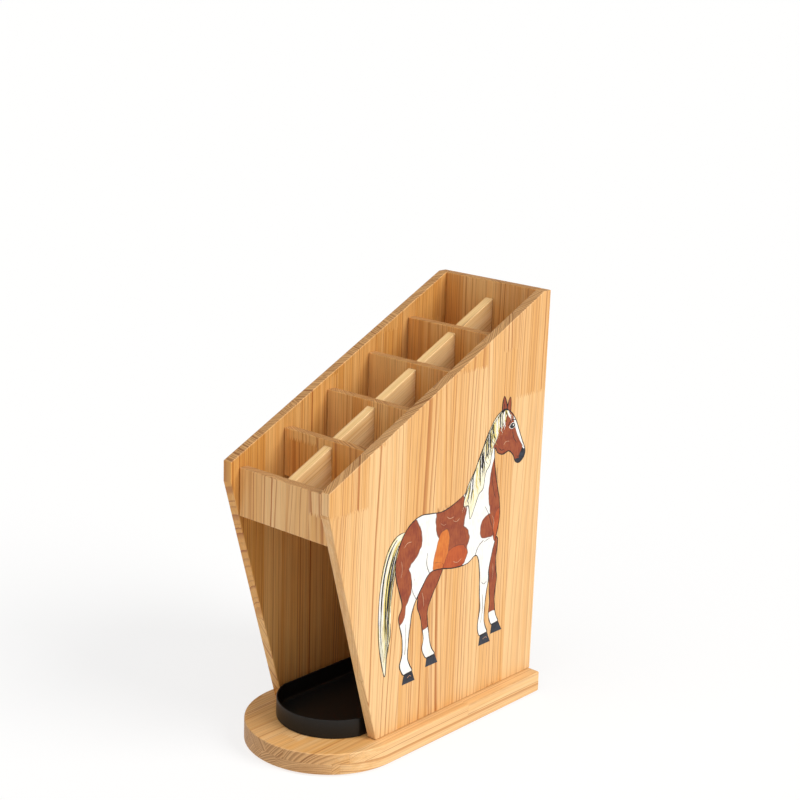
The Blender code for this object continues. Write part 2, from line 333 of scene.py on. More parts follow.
class SharedLooks:
    """The shader node groups that more than one material uses, each built once."""

    def __init__(self) -> None:
        """Builds the groups."""
        self.timber = self._timber(Sawmill())
        self.rounded_edges = self._rounded_edges()
        self.handling = self._handling()
        self.painted_patch = self._painted_patch()

    @staticmethod
    def _timber(mill: Sawmill) -> NodeTree:
        """Strips of sawn timber, glued edge to edge and finger-jointed end to end, each cut from its own log.

        The growth rings are circles about the log's pith, so that faces show straight or arched lines and
        ends show slanting ones.

        Args:
            mill: How the logs grew and were sawn.

        Returns:
            The group.
        """
        tree, given, result = new_group(
            "glued_timber", SHADING,
            {"Vector": VECTOR, "Normal": VECTOR, "Strip Width": 0.04, "Block Length": 0.4, "Ring Gap": 0.002,
             "Seed": 0.0, "Flatness": 0.5, "Contrast": 0.7, "Pale": COLOUR, "Warm": COLOUR,
             "Latewood": COLOUR, "End": COLOUR},
            {"Color": COLOUR, "Roughness": FLOAT, "Height": FLOAT})
        place = given["Vector"]
        seed = given["Seed"]
        width = given["Strip Width"]
        length = given["Block Length"]
        across, deep, along = tree.split(place)

        # Which strip, of uneven widths, and which block along it
        waver = tree.times(tree.math("SINE", tree.times(across, mill.waver_turns)), mill.strip_waver)
        strip_at = tree.plus(tree.plus(tree.over(across, width), waver), seed)
        strip = tree.math("FLOOR", strip_at)
        strip_luck = tree.chance(tree.join(strip, seed, 3.7))
        finger = tree.times(tree.math("PINGPONG", across, mill.finger_pitch), mill.finger_slope)
        block_at = tree.plus(tree.over(tree.plus(along, finger), length), tree.times(strip_luck[0], 7.0))
        block = tree.math("FLOOR", block_at)
        key = tree.join(strip, block, seed)
        luck = tree.chance(key)
        more_luck = tree.chance(tree.vector("ADD", key, (11.3, 5.9, 2.1)))

        # The pith of the log that the block was sawn from
        lean = tree.times(tree.spread(luck[0], *mill.pith_angle), given["Flatness"])
        reach = tree.spread(luck[1], *mill.pith_reach)
        side = tree.math("SIGN", tree.minus(luck[2], 0.5))
        pith_across = tree.times(tree.math("COSINE", lean), reach, side)
        pith_deep = tree.times(tree.math("SINE", lean), reach)
        middle = tree.times(tree.minus(tree.plus(strip, 0.5), seed), width)

        # Rings that drift along the log, in good years and bad ones
        long_way = tree.vector("ADD", tree.vector("MULTIPLY", place, mill.drift_scale),
                               tree.scaled(key, mill.log_shift))
        drift = tree.swing(tree.noise(long_way, 1.0, 1.0), mill.drift)
        ripple = tree.swing(tree.drawn_noise(place, mill.ripple_scale), mill.ripple)
        slope = tree.swing(more_luck[0], tree.times(along, mill.slope))
        aside = tree.minus(tree.minus(across, middle), pith_across)
        from_pith = tree.vector("LENGTH", tree.join(aside, tree.minus(deep, pith_deep), 0.0))
        radius = tree.plus(tree.plus(from_pith, tree.plus(drift, ripple)), slope)
        gap = tree.times(given["Ring Gap"], tree.spread(more_luck[1], *mill.gap_spread))
        years = tree.over(radius, gap)
        seasons = tree.noise(tree.join(tree.times(years, mill.season_scale), more_luck[2], seed), 1.0, 1.0)
        years = tree.plus(years, tree.times(seasons, mill.seasons))
        in_year = tree.math("FRACT", years)
        growth = tree.chance(tree.join(tree.math("FLOOR", years), luck[0], 1.3))
        rise = tree.remap(in_year, tree.spread(growth[1], *mill.latewood_onset), 0.93)
        fall = tree.remap(in_year, 0.95, 1.0, 1.0, 0.0)
        strength = tree.spread(tree.math("POWER", growth[0], mill.lean_years), mill.faintest_ring, 1.0)
        late = tree.times(rise, fall, strength)

        # Fibres, drawn out along the grain, and broad bands of warmer wood
        fibre = tree.drawn_noise(place, mill.fibre_scale, 2.0, 0.6)
        streak = tree.drawn_noise(place, mill.streak_scale, 2.0, 0.55)
        cloud = tree.drawn_noise(place, mill.cloud_scale)
        band_at = tree.join(tree.times(radius, mill.band_scale), luck[0], tree.times(along, 0.6))
        band = tree.noise(band_at, 1.0, 1.0)

        # The colour of the faces
        tone = tree.plus(tree.swing(more_luck[2], 1.0), cloud)
        tone = tree.plus(tone, tree.swing(streak, mill.streak_tone))
        tone = tree.plus(tone, tree.swing(band, mill.band_tone), clamp=True)
        wood = tree.mix(tone, given["Pale"], given["Warm"])
        contrast = tree.times(given["Contrast"], tree.spread(luck[1], 0.7, 1.1))
        wood = tree.mix(tree.times(late, contrast, clamp=True), wood, given["Latewood"])
        wood = tree.scaled(wood, tree.remap(fibre, 0.25, 0.75, 0.86, 1.09, "LINEAR"))

        # The colour where the surface is cut across the grain: wider dark rings, and pores
        cut_late = tree.times(tree.remap(in_year, 0.2, 0.7), fall, tree.spread(growth[0], 0.6, 1.0))
        cut_wood = tree.mix(cut_late, given["End"], tree.vector("MULTIPLY", given["End"], mill.cut_latewood))
        pores = tree.noise(tree.vector("MULTIPLY", place, (1.0, 1.0, 0.2)), mill.pore_scale, 1.0)
        cut_wood = tree.scaled(cut_wood, tree.remap(pores, 0.3, 0.7, 0.82, 1.12, "LINEAR"))
        end = tree.remap(tree.math("ABSOLUTE", tree.split(given["Normal"])[2]), 0.35, 0.9)
        wood = tree.mix(tree.times(end, mill.cut_share), wood, cut_wood)

        # Glue lines between strips and between blocks
        near_strip = tree.times(tree.math("PINGPONG", tree.math("FRACT", strip_at), 0.5), width)
        near_block = tree.times(tree.math("PINGPONG", tree.math("FRACT", block_at), 0.5), length)
        strip_line = tree.remap(near_strip, *mill.strip_line, 1.0, 0.0)
        block_line = tree.remap(near_block, *mill.block_line, 1.0, 0.0)
        glue = tree.math("MAXIMUM", strip_line, tree.times(block_line, 0.7))
        tree.feed(result["Color"], tree.mix(tree.times(glue, mill.glue_share), wood, given["Latewood"]))

        rough = tree.minus(tree.plus(tree.swing(fibre, 0.14), 0.44), tree.times(late, 0.06))
        tree.feed(result["Roughness"], tree.plus(rough, tree.times(end, 0.14)))
        height = tree.plus(tree.times(late, 0.5), tree.times(fibre, 0.35))
        tree.feed(result["Height"], tree.minus(height, tree.times(glue, 0.9)))
        return tree.tree

    @staticmethod
    def _rounded_edges() -> NodeTree:
        """Where a rounded edge has been rubbed: the mesh says where it is, and noise breaks it up.

        Returns:
            The group.
        """
        tree, given, result = new_group("rubbed_edges", SHADING, {"Vector": VECTOR, "Amount": 0.5},
                                        {"Mask": FLOAT})
        edge = tree.node("ShaderNodeAttribute", attribute_name=ROUNDED).outputs["Fac"]
        patchy = tree.remap(tree.noise(given["Vector"], 55.0, 3.0), 0.35, 0.68)
        tree.feed(result["Mask"], tree.times(edge, patchy, given["Amount"]))
        return tree.tree

    @staticmethod
    def _handling() -> NodeTree:
        """Faint unevenness of a used surface: dulled smears and fine dust.

        Returns:
            The group.
        """
        tree, given, result = new_group(
            "handling_marks", SHADING, {"Vector": VECTOR, "Scale": 1.0, "Base Roughness": 0.4, "Spread": 0.1},
            {"Roughness": FLOAT, "Dust": FLOAT})
        place = tree.scaled(given["Vector"], given["Scale"])
        smear = tree.noise(place, 14.0, 4.0, 0.62)
        offset = tree.times(tree.swing(smear, given["Spread"]), 2.0)
        tree.feed(result["Roughness"], tree.plus(given["Base Roughness"], offset))
        speck = tree.remap(tree.noise(place, 900.0, 1.0), 0.66, 0.78)
        tree.feed(result["Dust"], tree.times(speck, tree.remap(smear, 0.4, 0.7)))
        return tree.tree

    @staticmethod
    def _painted_patch() -> NodeTree:
        """How deep a place lies inside a patch of coat colour: a turned oval with a wandering edge.

        Returns:
            The group.
        """
        tree, given, result = new_group(
            "painted_patch", SHADING,
            {"Vector": VECTOR, "Centre": VECTOR, "Size": VECTOR, "Turn": 0.0, "Wander": 0.5},
            {"Depth": FLOAT})
        offset = tree.vector("SUBTRACT", given["Vector"], given["Centre"])
        turned = tree.node("ShaderNodeVectorRotate", {"Vector": offset, "Angle": given["Turn"]},
                           rotation_type="X_AXIS").outputs[0]
        flat = tree.vector("MULTIPLY", tree.vector("DIVIDE", turned, given["Size"]), (0.0, 1.0, 1.0))
        wander = tree.swing(tree.noise(given["Vector"], 42.0, 2.0), given["Wander"])
        tree.feed(result["Depth"], tree.minus(1.0, tree.plus(tree.vector("LENGTH", flat), wander)))
        return tree.tree


# --------------------------------------------------------------------------------------------------
# Finishes


class Finish:
    """A material under construction: its tree and its Principled shader."""

    def __init__(self, name: str, looks: SharedLooks | None = None) -> None:
        """Makes an empty Principled material.

        Args:
            name: The material's name.
            looks: The shared node groups, where the material uses them.
        """
        self.material = bpy.data.materials.new(name)
        self.material.use_nodes = True
        self.looks = looks
        self.tree = Tree(self.material.node_tree)
        self.shader = self.material.node_tree.nodes["Principled BSDF"]
        self.place = self.tree.node("ShaderNodeTexCoord")
        self.spot = self.place.outputs["Object"]

    def group(self, group: NodeTree, **values: object) -> Sequence[NodeSocket]:
        """Places a shared node group.

        Args:
            group: The group.
            **values: Its inputs, named with underscores for spaces.

        Returns:
            The outputs of the group.
        """
        node = self.tree.node("ShaderNodeGroup", node_tree=group)
        for name, value in values.items():
            self.tree.feed(node.inputs[name.replace("_", " ")], value)
        return node.outputs

    def handled(self, roughness: Value, spread: float, scale: float) -> NodeSocket:
        """Gives the surface the marks of handling.

        Args:
            roughness: The clean surface's roughness.
            spread: How far smears change it.
            scale: How small the marks are.

        Returns:
            Where dust lies.
        """
        marks = self.group(self.looks.handling, Vector=self.spot, Scale=scale, Base_Roughness=roughness,
                           Spread=spread)
        self.set(Roughness=marks["Roughness"])
        return marks["Dust"]

    def rubbed(self, amount: float) -> NodeSocket:
        """Where rounded edges have been rubbed."""
        return self.group(self.looks.rounded_edges, Vector=self.spot, Amount=amount)["Mask"]

    def bump(self, height: NodeSocket, depth: float, strength: float) -> None:
        """Gives the surface a relief.

        Args:
            height: The relief, in shares of its depth.
            depth: The depth.
            strength: How strongly it shows.
        """
        node = self.tree.node("ShaderNodeBump", {"Strength": strength, "Distance": depth, "Height": height})
        self.set(Normal=node.outputs[0])

    def set(self, **values: object) -> None:
        """Sets or feeds the shader's inputs, named with underscores for spaces."""
        for name, value in values.items():
            self.tree.feed(self.shader.inputs[name.replace("_", " ")], value)


@dataclass(frozen=True)
class TimberFinish:
    """Lacquered timber: its colours and the sizes of its strips and rings."""

    name: str
    pale: Triple
    warm: Triple
    latewood: Triple
    end: Triple
    strip_width: float = 0.043
    block_length: float = 0.46
    ring_gap: float = 0.0025
    flatness: float = 1.0
    contrast: float = 1.15
    coat: float = 0.04
    gloss: float = 0.3

    def dress(self, looks: SharedLooks, label: str, turn: Triple, seed: float) -> Material:
        """Makes the material of one board.

        Args:
            looks: The shared node groups.
            label: The board's name.
            turn: The turn that brings the board's grain to Z and its width to X.
            seed: A number that gives the board its own strips.

        Returns:
            The material.
        """
        finish = Finish(f"{self.name}_{label}", looks)
        turned, facing = (
            finish.tree.node("ShaderNodeMapping", {"Rotation": turn, "Vector": finish.place.outputs[source]},
                             vector_type=kind).outputs[0]
            for source, kind in (("Object", "POINT"), ("Normal", "NORMAL"))
        )
        wood = finish.group(
            looks.timber, Vector=turned, Normal=facing, Strip_Width=self.strip_width,
            Block_Length=self.block_length, Ring_Gap=self.ring_gap, Seed=seed, Flatness=self.flatness,
            Pale=self.pale, Warm=self.warm, Latewood=self.latewood, End=self.end, Contrast=self.contrast)
        finish.handled(wood["Roughness"], spread=0.06, scale=1.0)
        finish.bump(wood["Height"], depth=0.00012, strength=0.55)
        finish.set(Base_Color=finish.tree.mix(finish.rubbed(0.35), wood["Color"], self.pale),
                   Coat_Weight=self.coat, Coat_Roughness=0.22, Specular_IOR_Level=self.gloss)
        return finish.material


PINE = TimberFinish("pine", pale=(0.80, 0.505, 0.235), warm=(0.70, 0.365, 0.115),
                    latewood=(0.42, 0.145, 0.030), end=(0.60, 0.34, 0.145))
PALE_PINE = TimberFinish("pale_pine", pale=(0.89, 0.625, 0.32), warm=(0.80, 0.49, 0.19),
                         latewood=(0.48, 0.20, 0.055), end=(0.58, 0.34, 0.155), strip_width=0.3,
                         ring_gap=0.0026, flatness=0.9, contrast=0.6)
# A darker, more saturated copy of the pine for the left panel, whose inside stands in shade: painted shade.
PINE_PAINTED_SHADE = replace(PINE, pale=(0.75, 0.425, 0.145), warm=(0.65, 0.305, 0.07), latewood=(0.37, 0.11, 0.020))
BASE_PINE = replace(PINE, ring_gap=0.0030, contrast=1.0, end=(0.60, 0.335, 0.14))
FLAT_PINE = replace(BASE_PINE, flatness=1.45)
# The darkest, most saturated copy of the pine, darker at its ends too, for the back panel and the cross
# dividers, which stand mostly in shade: painted shade.
PINE_DEEP_PAINTED_SHADE = replace(PINE, pale=(0.79, 0.445, 0.155), warm=(0.68, 0.30, 0.07), latewood=(0.38, 0.11, 0.020),
                    end=(0.54, 0.285, 0.11))
BEECH = TimberFinish("beech", pale=(0.72, 0.52, 0.34), warm=(0.62, 0.41, 0.25), latewood=(0.42, 0.25, 0.14),
                     end=(0.42, 0.27, 0.16), strip_width=0.3, ring_gap=0.0012, contrast=0.3, coat=0.0)


@dataclass(frozen=True)
class TrayPlastic:
    """Black moulded plastic with a fine spark-eroded texture."""

    colour: Triple = (0.0080, 0.0082, 0.0078)
    dust: Triple = (0.09, 0.087, 0.08)
    gloss: float = 0.28
    roughness: float = 0.36
    texture_scale: float = 1500.0
    texture_depth: float = 0.00006

    def dress(self, looks: SharedLooks) -> Material:
        """Makes the tray's material.

        Args:
            looks: The shared node groups.

        Returns:
            The material.
        """
        finish = Finish("tray_plastic", looks)
        tree = finish.tree
        dust = finish.handled(self.roughness, spread=0.10, scale=1.2)
        colour = tree.mix(tree.times(dust, 0.35), self.colour, self.dust)
        colour = tree.mix(tree.times(finish.rubbed(0.5), 0.25), colour, self.dust)
        finish.bump(tree.noise(finish.spot, self.texture_scale, 2.0, 0.6), self.texture_depth, strength=0.5)
        finish.set(Base_Color=colour, Specular_IOR_Level=self.gloss)
        return finish.material


@dataclass(frozen=True)
class ZincPlate:
    """Yellow-zinc screw steel, brighter in places."""

    colour: Triple = (0.74, 0.60, 0.34)
    bare: Triple = (0.78, 0.77, 0.74)
    roughness: float = 0.30

    def dress(self, looks: SharedLooks) -> Material:
        """Makes the screws' material.

        Args:
            looks: The shared node groups.

        Returns:
            The material.
        """
        finish = Finish("zinc_plate", looks)
        tree = finish.tree
        finish.handled(self.roughness, spread=0.16, scale=9.0)
        worn = tree.remap(tree.noise(finish.spot, 420.0, 3.0), 0.4, 0.7)
        finish.bump(tree.noise(finish.spot, 2600.0), depth=0.00003, strength=0.4)
        finish.set(Base_Color=tree.mix(worn, self.colour, self.bare), Metallic=1.0)
        return finish.material


@dataclass(frozen=True)
class FootRubber:
    """Dull dark rubber with a dusty bloom."""

    colour: Triple = (0.026, 0.025, 0.024)
    bloom: Triple = (0.12, 0.115, 0.11)
    roughness: float = 0.78

    def dress(self, looks: SharedLooks) -> Material:
        """Makes the feet's material.

        Args:
            looks: The shared node groups.

        Returns:
            The material.
        """
        finish = Finish("foot_rubber", looks)
        tree = finish.tree
        dust = finish.handled(self.roughness, spread=0.10, scale=5.0)
        haze = tree.remap(tree.noise(finish.spot, 160.0, 4.0), 0.45, 0.8, 0.0, 0.35)
        colour = tree.mix(dust, tree.mix(haze, self.colour, self.bloom), self.bloom)
        finish.bump(tree.noise(finish.spot, 1100.0), depth=0.00008, strength=0.5)
        finish.set(Base_Color=colour)
        return finish.material


@dataclass(frozen=True)
class Patch:
    """One oval patch of coat colour: its centre and half sizes on the panel, in millimetres, and its turn."""

    centre: Point
    size: Point
    turn: float = 0.0
    wander: float = 0.7


@dataclass(frozen=True)
class Pigment:
    """A paint colour where it lies thick and where it lies thin."""

    thick: Triple
    thin: Triple

    def laid(self, tree: Tree, cover: NodeSocket) -> NodeSocket:
        """The colour under a brush that covers unevenly."""
        return tree.mix(cover, self.thin, self.thick)


WHITE = Pigment((0.88, 0.86, 0.82), (0.76, 0.73, 0.68))
BROWN = Pigment((0.325, 0.078, 0.025), (0.225, 0.04, 0.016))
RUST = Pigment((0.46, 0.09, 0.02), (0.34, 0.055, 0.015))
ORANGE = Pigment((0.62, 0.185, 0.03), (0.52, 0.12, 0.02))
CREAM = Pigment((0.88, 0.84, 0.66), (0.76, 0.68, 0.44))
YELLOW = Pigment((0.80, 0.66, 0.22), (0.62, 0.46, 0.12))
SHEEN = Pigment((0.60, 0.34, 0.21), (0.46, 0.22, 0.12))
SLATE = Pigment((0.035, 0.04, 0.055), (0.016, 0.018, 0.026))
INK = Pigment((0.018, 0.016, 0.02), (0.01, 0.009, 0.012))


@dataclass(frozen=True)
class BrushedPaint:
    """Hand-brushed acrylic paint of one pigment, with patches of others over it or locks that differ."""

    name: str
    pigment: Pigment
    patches: Sequence[tuple[Pigment, Sequence[Patch]]] = ()
    locks: Sequence[tuple[float, Pigment]] = ()
    roughness: float = 0.46
    gloss: float = 0.22
    rim: float = 0.55
    stroke_scale: Triple = (300.0, 520.0, 110.0)

    def dress(self, looks: SharedLooks) -> Material:
        """Makes the paint's material: streaks of the brush, pooled colour and a few thin places.

        Args:
            looks: The shared node groups.

        Returns:
            The material.
        """
        finish = Finish(self.name, looks)
        tree = finish.tree
        streaks = tree.drawn_noise(finish.spot, self.stroke_scale, 3.0, 0.6)
        pooled = tree.noise(finish.spot, 55.0, 3.0, 0.55)
        cover = tree.remap(tree.times(tree.plus(streaks, pooled), 0.5), 0.36, 0.6)
        colour = self.pigment.laid(tree, cover)
        for pigment, patches in self.patches:
            depth = self._deepest(finish, patches)
            colour = tree.mix(tree.remap(depth, -0.02, 0.02), colour, pigment.laid(tree, cover))
            rim = tree.remap(tree.math("ABSOLUTE", depth), 0.005, 0.05, self.rim, 0.0)
            colour = tree.mix(rim, colour, INK.thick)
        if self.locks:
            tone = tree.node("ShaderNodeAttribute", attribute_name=TONE).outputs["Fac"]
            for above, pigment in self.locks:
                colour = tree.mix(tree.math("GREATER_THAN", tone, above), colour, pigment.laid(tree, cover))
        finish.handled(self.roughness, spread=0.10, scale=2.0)
        finish.bump(streaks, depth=0.00006, strength=0.5)
        finish.set(Base_Color=colour, Specular_IOR_Level=self.gloss)
        return finish.material

    @staticmethod
    def _deepest(finish: Finish, patches: Sequence[Patch]) -> NodeSocket:
        """How deep a place lies inside any of some patches.

        Args:
            finish: The paint under construction.
            patches: The patches.

        Returns:
            The depth, in shares of a patch's half size, and below zero outside.
        """
        deepest = None
        for patch in patches:
            centre = (0.0, patch.centre[0] * MM, patch.centre[1] * MM)
            size = (1.0, patch.size[0] * MM, patch.size[1] * MM)
            depth = finish.group(finish.looks.painted_patch, Vector=finish.spot, Centre=centre, Size=size,
                                 Turn=patch.turn, Wander=patch.wander)["Depth"]
            deepest = depth if deepest is None else finish.tree.math("MAXIMUM", deepest, depth)
        return deepest


# --------------------------------------------------------------------------------------------------
# Meshes


def solids(prefix: str) -> Iterator[tuple[str, Vector, Vector, Vector]]:
    """The solids of one kind, in order of their names.

    Args:
        prefix: How their names begin.

    Yields:
        Each one's name, its lowest corner, its middle and its highest corner.
    """
    for name in sorted(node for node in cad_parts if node.startswith(prefix)):
        low, high = (Vector(corner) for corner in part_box(name))
        yield name, low, (low + high) / 2, high


def mesh_from(name: str, shape: BMesh) -> Mesh:
    """Turns a mesh under construction into a finished one.

    Args:
        name: The mesh's name.
        shape: The mesh under construction, which is freed.

    Returns:
        The mesh.
    """
    mesh = bpy.data.meshes.new(name)
    shape.to_mesh(mesh)
    shape.free()
    return mesh


def line_mesh(name: str, points: Sequence[Sequence[float]], edges: Sequence[Sequence[int]]) -> Mesh:
    """Makes a mesh of points and edges.

    Args:
        name: The mesh's name.
        points: The points.
        edges: Pairs of numbers of points.

    Returns:
        The mesh.
    """
    mesh = bpy.data.meshes.new(name)
    mesh.from_pydata(points, edges, [])
    return mesh


def add_band(shape: BMesh, lower: Sequence[BMVert], upper: Sequence[BMVert], steps: int) -> None:
    """Adds a closed band of faces between two rings, either of which may be a single point.

    Args:
        shape: The mesh under construction.
        lower: The first ring.
        upper: The second ring.
        steps: How many faces go round.
    """
    for step in range(steps):
        corners = [lower[step % len(lower)], lower[(step + 1) % len(lower)],
                   upper[(step + 1) % len(upper)], upper[step % len(upper)]]
        shape.faces.new(list(dict.fromkeys(corners)))


def linked(item: Object) -> Object:
    """Links an object to the scene."""
    bpy.context.scene.collection.objects.link(item)
    return item


def new_object(name: str, mesh: Mesh, material: Material) -> Object:
    """An object at the origin with a mesh and its material.

    Args:
        name: The object's name.
        mesh: The mesh.
        material: The material.

    Returns:
        The object, linked to the scene.
    """
    item = linked(bpy.data.objects.new(name, mesh))
    mesh.materials.clear()
    mesh.materials.append(material)
    return item


def baked(item: Object) -> Object:
    """Turns what an object's modifiers make into its plain mesh.

    Args:
        item: The object.

    Returns:
        The object, with no modifier left.
    """
    bpy.context.view_layer.update()
    graph = bpy.context.evaluated_depsgraph_get()
    mesh = bpy.data.meshes.new_from_object(item.evaluated_get(graph), preserve_all_data_layers=True,
                                           depsgraph=graph)
    item.modifiers.clear()
    item.data = mesh
    return item


def shade_round(mesh: Mesh, sharp_over: float = math.radians(38)) -> None:
    """Shades a mesh smooth, but for its sharp edges."""
    mesh.shade_smooth()
    mesh.set_sharp_from_angle(angle=sharp_over)


def even_normals(item: Object) -> Object:
    """Keeps flat faces flat next to rounded edges.

    Args:
        item: The object.

    Returns:
        The object, its mesh plain.
    """
    shade_round(item.data)
    weighted = item.modifiers.new("weighted_normals", "WEIGHTED_NORMAL")
    weighted.keep_sharp = True
    weighted.weight = 50
    return baked(item)


def arc(centre: Point, radius: float, start: float, end: float, steps: int) -> list[Point]:
    """Points along a circle.

    Args:
        centre: The circle's centre.
        radius: Its radius.
        start: The angle of the first point.
        end: The angle of the last point.
        steps: How many pieces the arc is divided into.

    Returns:
        The points, both ends included.
    """
    angles = [start + (end - start) * step / steps for step in range(steps + 1)]
    return [(centre[0] + radius * math.cos(angle), centre[1] + radius * math.sin(angle)) for angle in angles]


def smooth_path(points: Sequence[Point], closed: bool, steps: int = 6) -> list[Point]:
    """A smooth path through points, in metres.

    Args:
        points: The points that it passes, in millimetres.
        closed: Whether it returns to its start.
        steps: How many pieces each stretch is divided into.

    Returns:
        The path's points.
    """
    count = len(points)
    stretches = count if closed else count - 1

    def at(index: int) -> Vector:
        """A point by its number, past the ends too."""
        return Vector(points[index % count] if closed else points[max(0, min(count - 1, index))])

    path = []
    for stretch in range(stretches):
        before, start, end, after = (at(stretch + offset) for offset in (-1, 0, 1, 2))
        for step in range(steps):
            t = step / steps
            place = (
                2 * start
                + (end - before) * t
                + (2 * before - 5 * start + 4 * end - after) * t**2
                + (3 * start - before - 3 * end + after) * t**3
            ) / 2
            path.append((place.x, place.y))
    if not closed:
        path.append(tuple(at(count - 1)))
    return in_metres(path)


def in_metres(path: Sequence[Point]) -> list[Point]:
    """A path's points turned from millimetres into metres."""
    return [(y * MM, z * MM) for y, z in path]


def paint_film(shape: BMesh, outline: Sequence[Point], face: float, level: float,
               root: float = 0.05 * MM) -> None:
    """Adds a thin film of paint to a mesh.

    Args:
        shape: The mesh under construction.
        outline: The film's outline on the panel, as Y and Z.
        face: The panel's face.
        level: How far the film's top stands off the face.
        root: How far the film's rim reaches into the wood.
    """
    top = [shape.verts.new((face + level, y, z)) for y, z in outline]
    foot = [shape.verts.new((face - root, y, z)) for y, z in outline]
    add_band(shape, foot, top, len(outline))
    for triangle in tessellate_polygon([[Vector((0.0, y, z)) for y, z in outline]]):
        shape.faces.new([top[index] for index in triangle])
    bmesh.ops.recalc_face_normals(shape, faces=shape.faces)


def chain_mesh(name: str, chains: Sequence[tuple[Sequence[Point], float, float]], face: float) -> Mesh:
    """A mesh of edges that strokes follow.

    Args:
        name: The mesh's name.
        chains: The paths on the panel, each with its level above the face and its width.
        face: The panel's face.

    Returns:
        The mesh, with the width kept on its points.
    """
    points = []
    edges = []
    widths = []
    for path, level, width in chains:
        first = len(points)
        points.extend((face + level, y, z) for y, z in path)
        edges.extend((first + step, first + step + 1) for step in range(len(path) - 1))
        widths.extend([width] * len(path))
    mesh = line_mesh(name, points, edges)
    mesh.attributes.new(WIDTH, "FLOAT", "POINT").data.foreach_set("value", widths)
    return mesh


def turned_mesh(name: str, profile: Sequence[Point], middle: Vector, steps: int) -> Mesh:
    """A mesh turned about an upright axis.

    Args:
        name: The mesh's name.
        profile: Radii and heights, which start and end on the axis.
        middle: A point of the axis.
        steps: How many facets go round.

    Returns:
        The mesh.
    """
    shape = bmesh.new()
    rings = []
    for radius, height in profile:
        around = steps if radius > 0 else 1
        turns = [2 * math.pi * step / steps for step in range(around)]
        rings.append([
            shape.verts.new((middle.x + radius * math.cos(turn), middle.y + radius * math.sin(turn), height))
            for turn in turns
        ])
    for lower, upper in zip(rings, rings[1:]):
        add_band(shape, lower, upper, steps)
    bmesh.ops.recalc_face_normals(shape, faces=shape.faces)
    return mesh_from(name, shape)


def finish_piece(item: Object, body: Body, slot: Slot | None = None, *nodes: str) -> Object:
    """Makes a piece ride on its body, and reports it.

    Args:
        item: The piece.
        body: The body.
        slot: The material slot of the piece; not used.
        *nodes: The nodes that the piece stands for.

    Returns:
        The piece.
    """
    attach(item, body.value)
    if nodes:
        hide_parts(*nodes)
    LOG.info("%s: %d faces, rides on %s", item.name, len(item.data.polygons), body.value)
    return item


class NodeModifier:
    """A Geometry Nodes tree used on an object, with its inputs given by name."""

    def __init__(self, tree: NodeTree) -> None:
        """Keeps the tree and finds its inputs' identifiers.

        Args:
            tree: The tree.
        """
        self.tree = tree
        self.identifiers = {
            item.name: item.identifier
            for item in tree.interface.items_tree
            if item.item_type == "SOCKET" and item.in_out == "INPUT"
        }

    def apply(self, item: Object, **values: object) -> Object:
        """Runs the tree on an object and turns the result into a plain mesh.

        Args:
            item: The object.
            **values: The tree's inputs, named with underscores for spaces.

        Returns:
            The object.
        """
        modifier = item.modifiers.new(self.tree.name, "NODES")
        modifier.node_group = self.tree
        for name, value in values.items():
            modifier[self.identifiers[name.replace("_", " ")]] = value
        return baked(item)


# --------------------------------------------------------------------------------------------------
# Boards


@dataclass
class BoardWork:
    """One board of the housing or the base, its edges rounded and its grain laid."""

    node: str
    grain: Grain
    seed: float
    timber: TimberFinish = PINE
    slot: Slot = Slot.PINE
    roundover: float = 1.2 * MM
    steps: int = 3
    lean: float = 0.0
    seam: float | None = None
    seam_reach: float = 0.3 * MM
    weld: float = 0.001 * MM
    flat: float = math.radians(0.5)
    sharp: float = math.radians(20)

    def build(self, looks: SharedLooks) -> Object:
        """Makes the board from its solid and dresses it.

        Args:
            looks: The shared node groups.

        Returns:
            The board.
        """
        shape = bmesh.new()
        shape.from_mesh(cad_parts[self.node].data)
        bmesh.ops.remove_doubles(shape, verts=shape.verts, dist=self.weld)
        bmesh.ops.dissolve_limit(shape, angle_limit=self.flat, verts=shape.verts, edges=shape.edges)
        self._close_seam(shape)
        self._round_edges(shape)
        turn = (self.grain.value[0] + self.lean, *self.grain.value[1:])
        material = self.timber.dress(looks, self.node, turn, self.seed)
        board = new_object(self.node + "_timber", mesh_from(self.node, shape), material)
        return finish_piece(even_normals(board), Body.STAND, self.slot, self.node)

    def _round_edges(self, shape: BMesh) -> None:
        """Rounds the board's outer edges, leaves its joints sharp, and marks the rounding on the mesh.

        Args:
            shape: The board's mesh.
        """
        shape.normal_update()
        points = [vertex.co.copy() for vertex in shape.verts]
        outer = {face for face in shape.faces if self._is_outer(face, points)}
        edges = [
            edge
            for edge in shape.edges
            if len(edge.link_faces) == 2
            and all(face in outer for face in edge.link_faces)
            and edge.calc_face_angle(0.0) > self.sharp
            and not all(self._on_seam(vertex) for vertex in edge.verts)
        ]
        made = bmesh.ops.bevel(shape, geom=edges, offset=self.roundover, segments=self.steps, profile=0.5,
                               affect="EDGES", clamp_overlap=True)
        rounded = set(made["faces"])
        layer = shape.loops.layers.float.new(ROUNDED)
        for face in rounded:
            for corner in face.loops:
                corner[layer] = float(all(other in rounded for other in corner.vert.link_faces))

    def _on_seam(self, vertex: BMVert) -> bool:
        """Whether a point lies on the glued seam between two layers."""
        return self.seam is not None and abs(vertex.co.z - self.seam) < self.seam_reach

    def _close_seam(self, shape: BMesh) -> None:
        """Brings the layer's glued face to the seam.

        Args:
            shape: The board's mesh.
        """
        for vertex in shape.verts:
            if self._on_seam(vertex):
                vertex.co.z = self.seam

    @staticmethod
    def _is_outer(face: BMFace, points: Sequence[Vector], slack: float = 0.02 * MM) -> bool:
        """Whether the whole board lies behind a face."""
        reach = face.normal.dot(face.verts[0].co) + slack
        return all(face.normal.dot(point) <= reach for point in points)


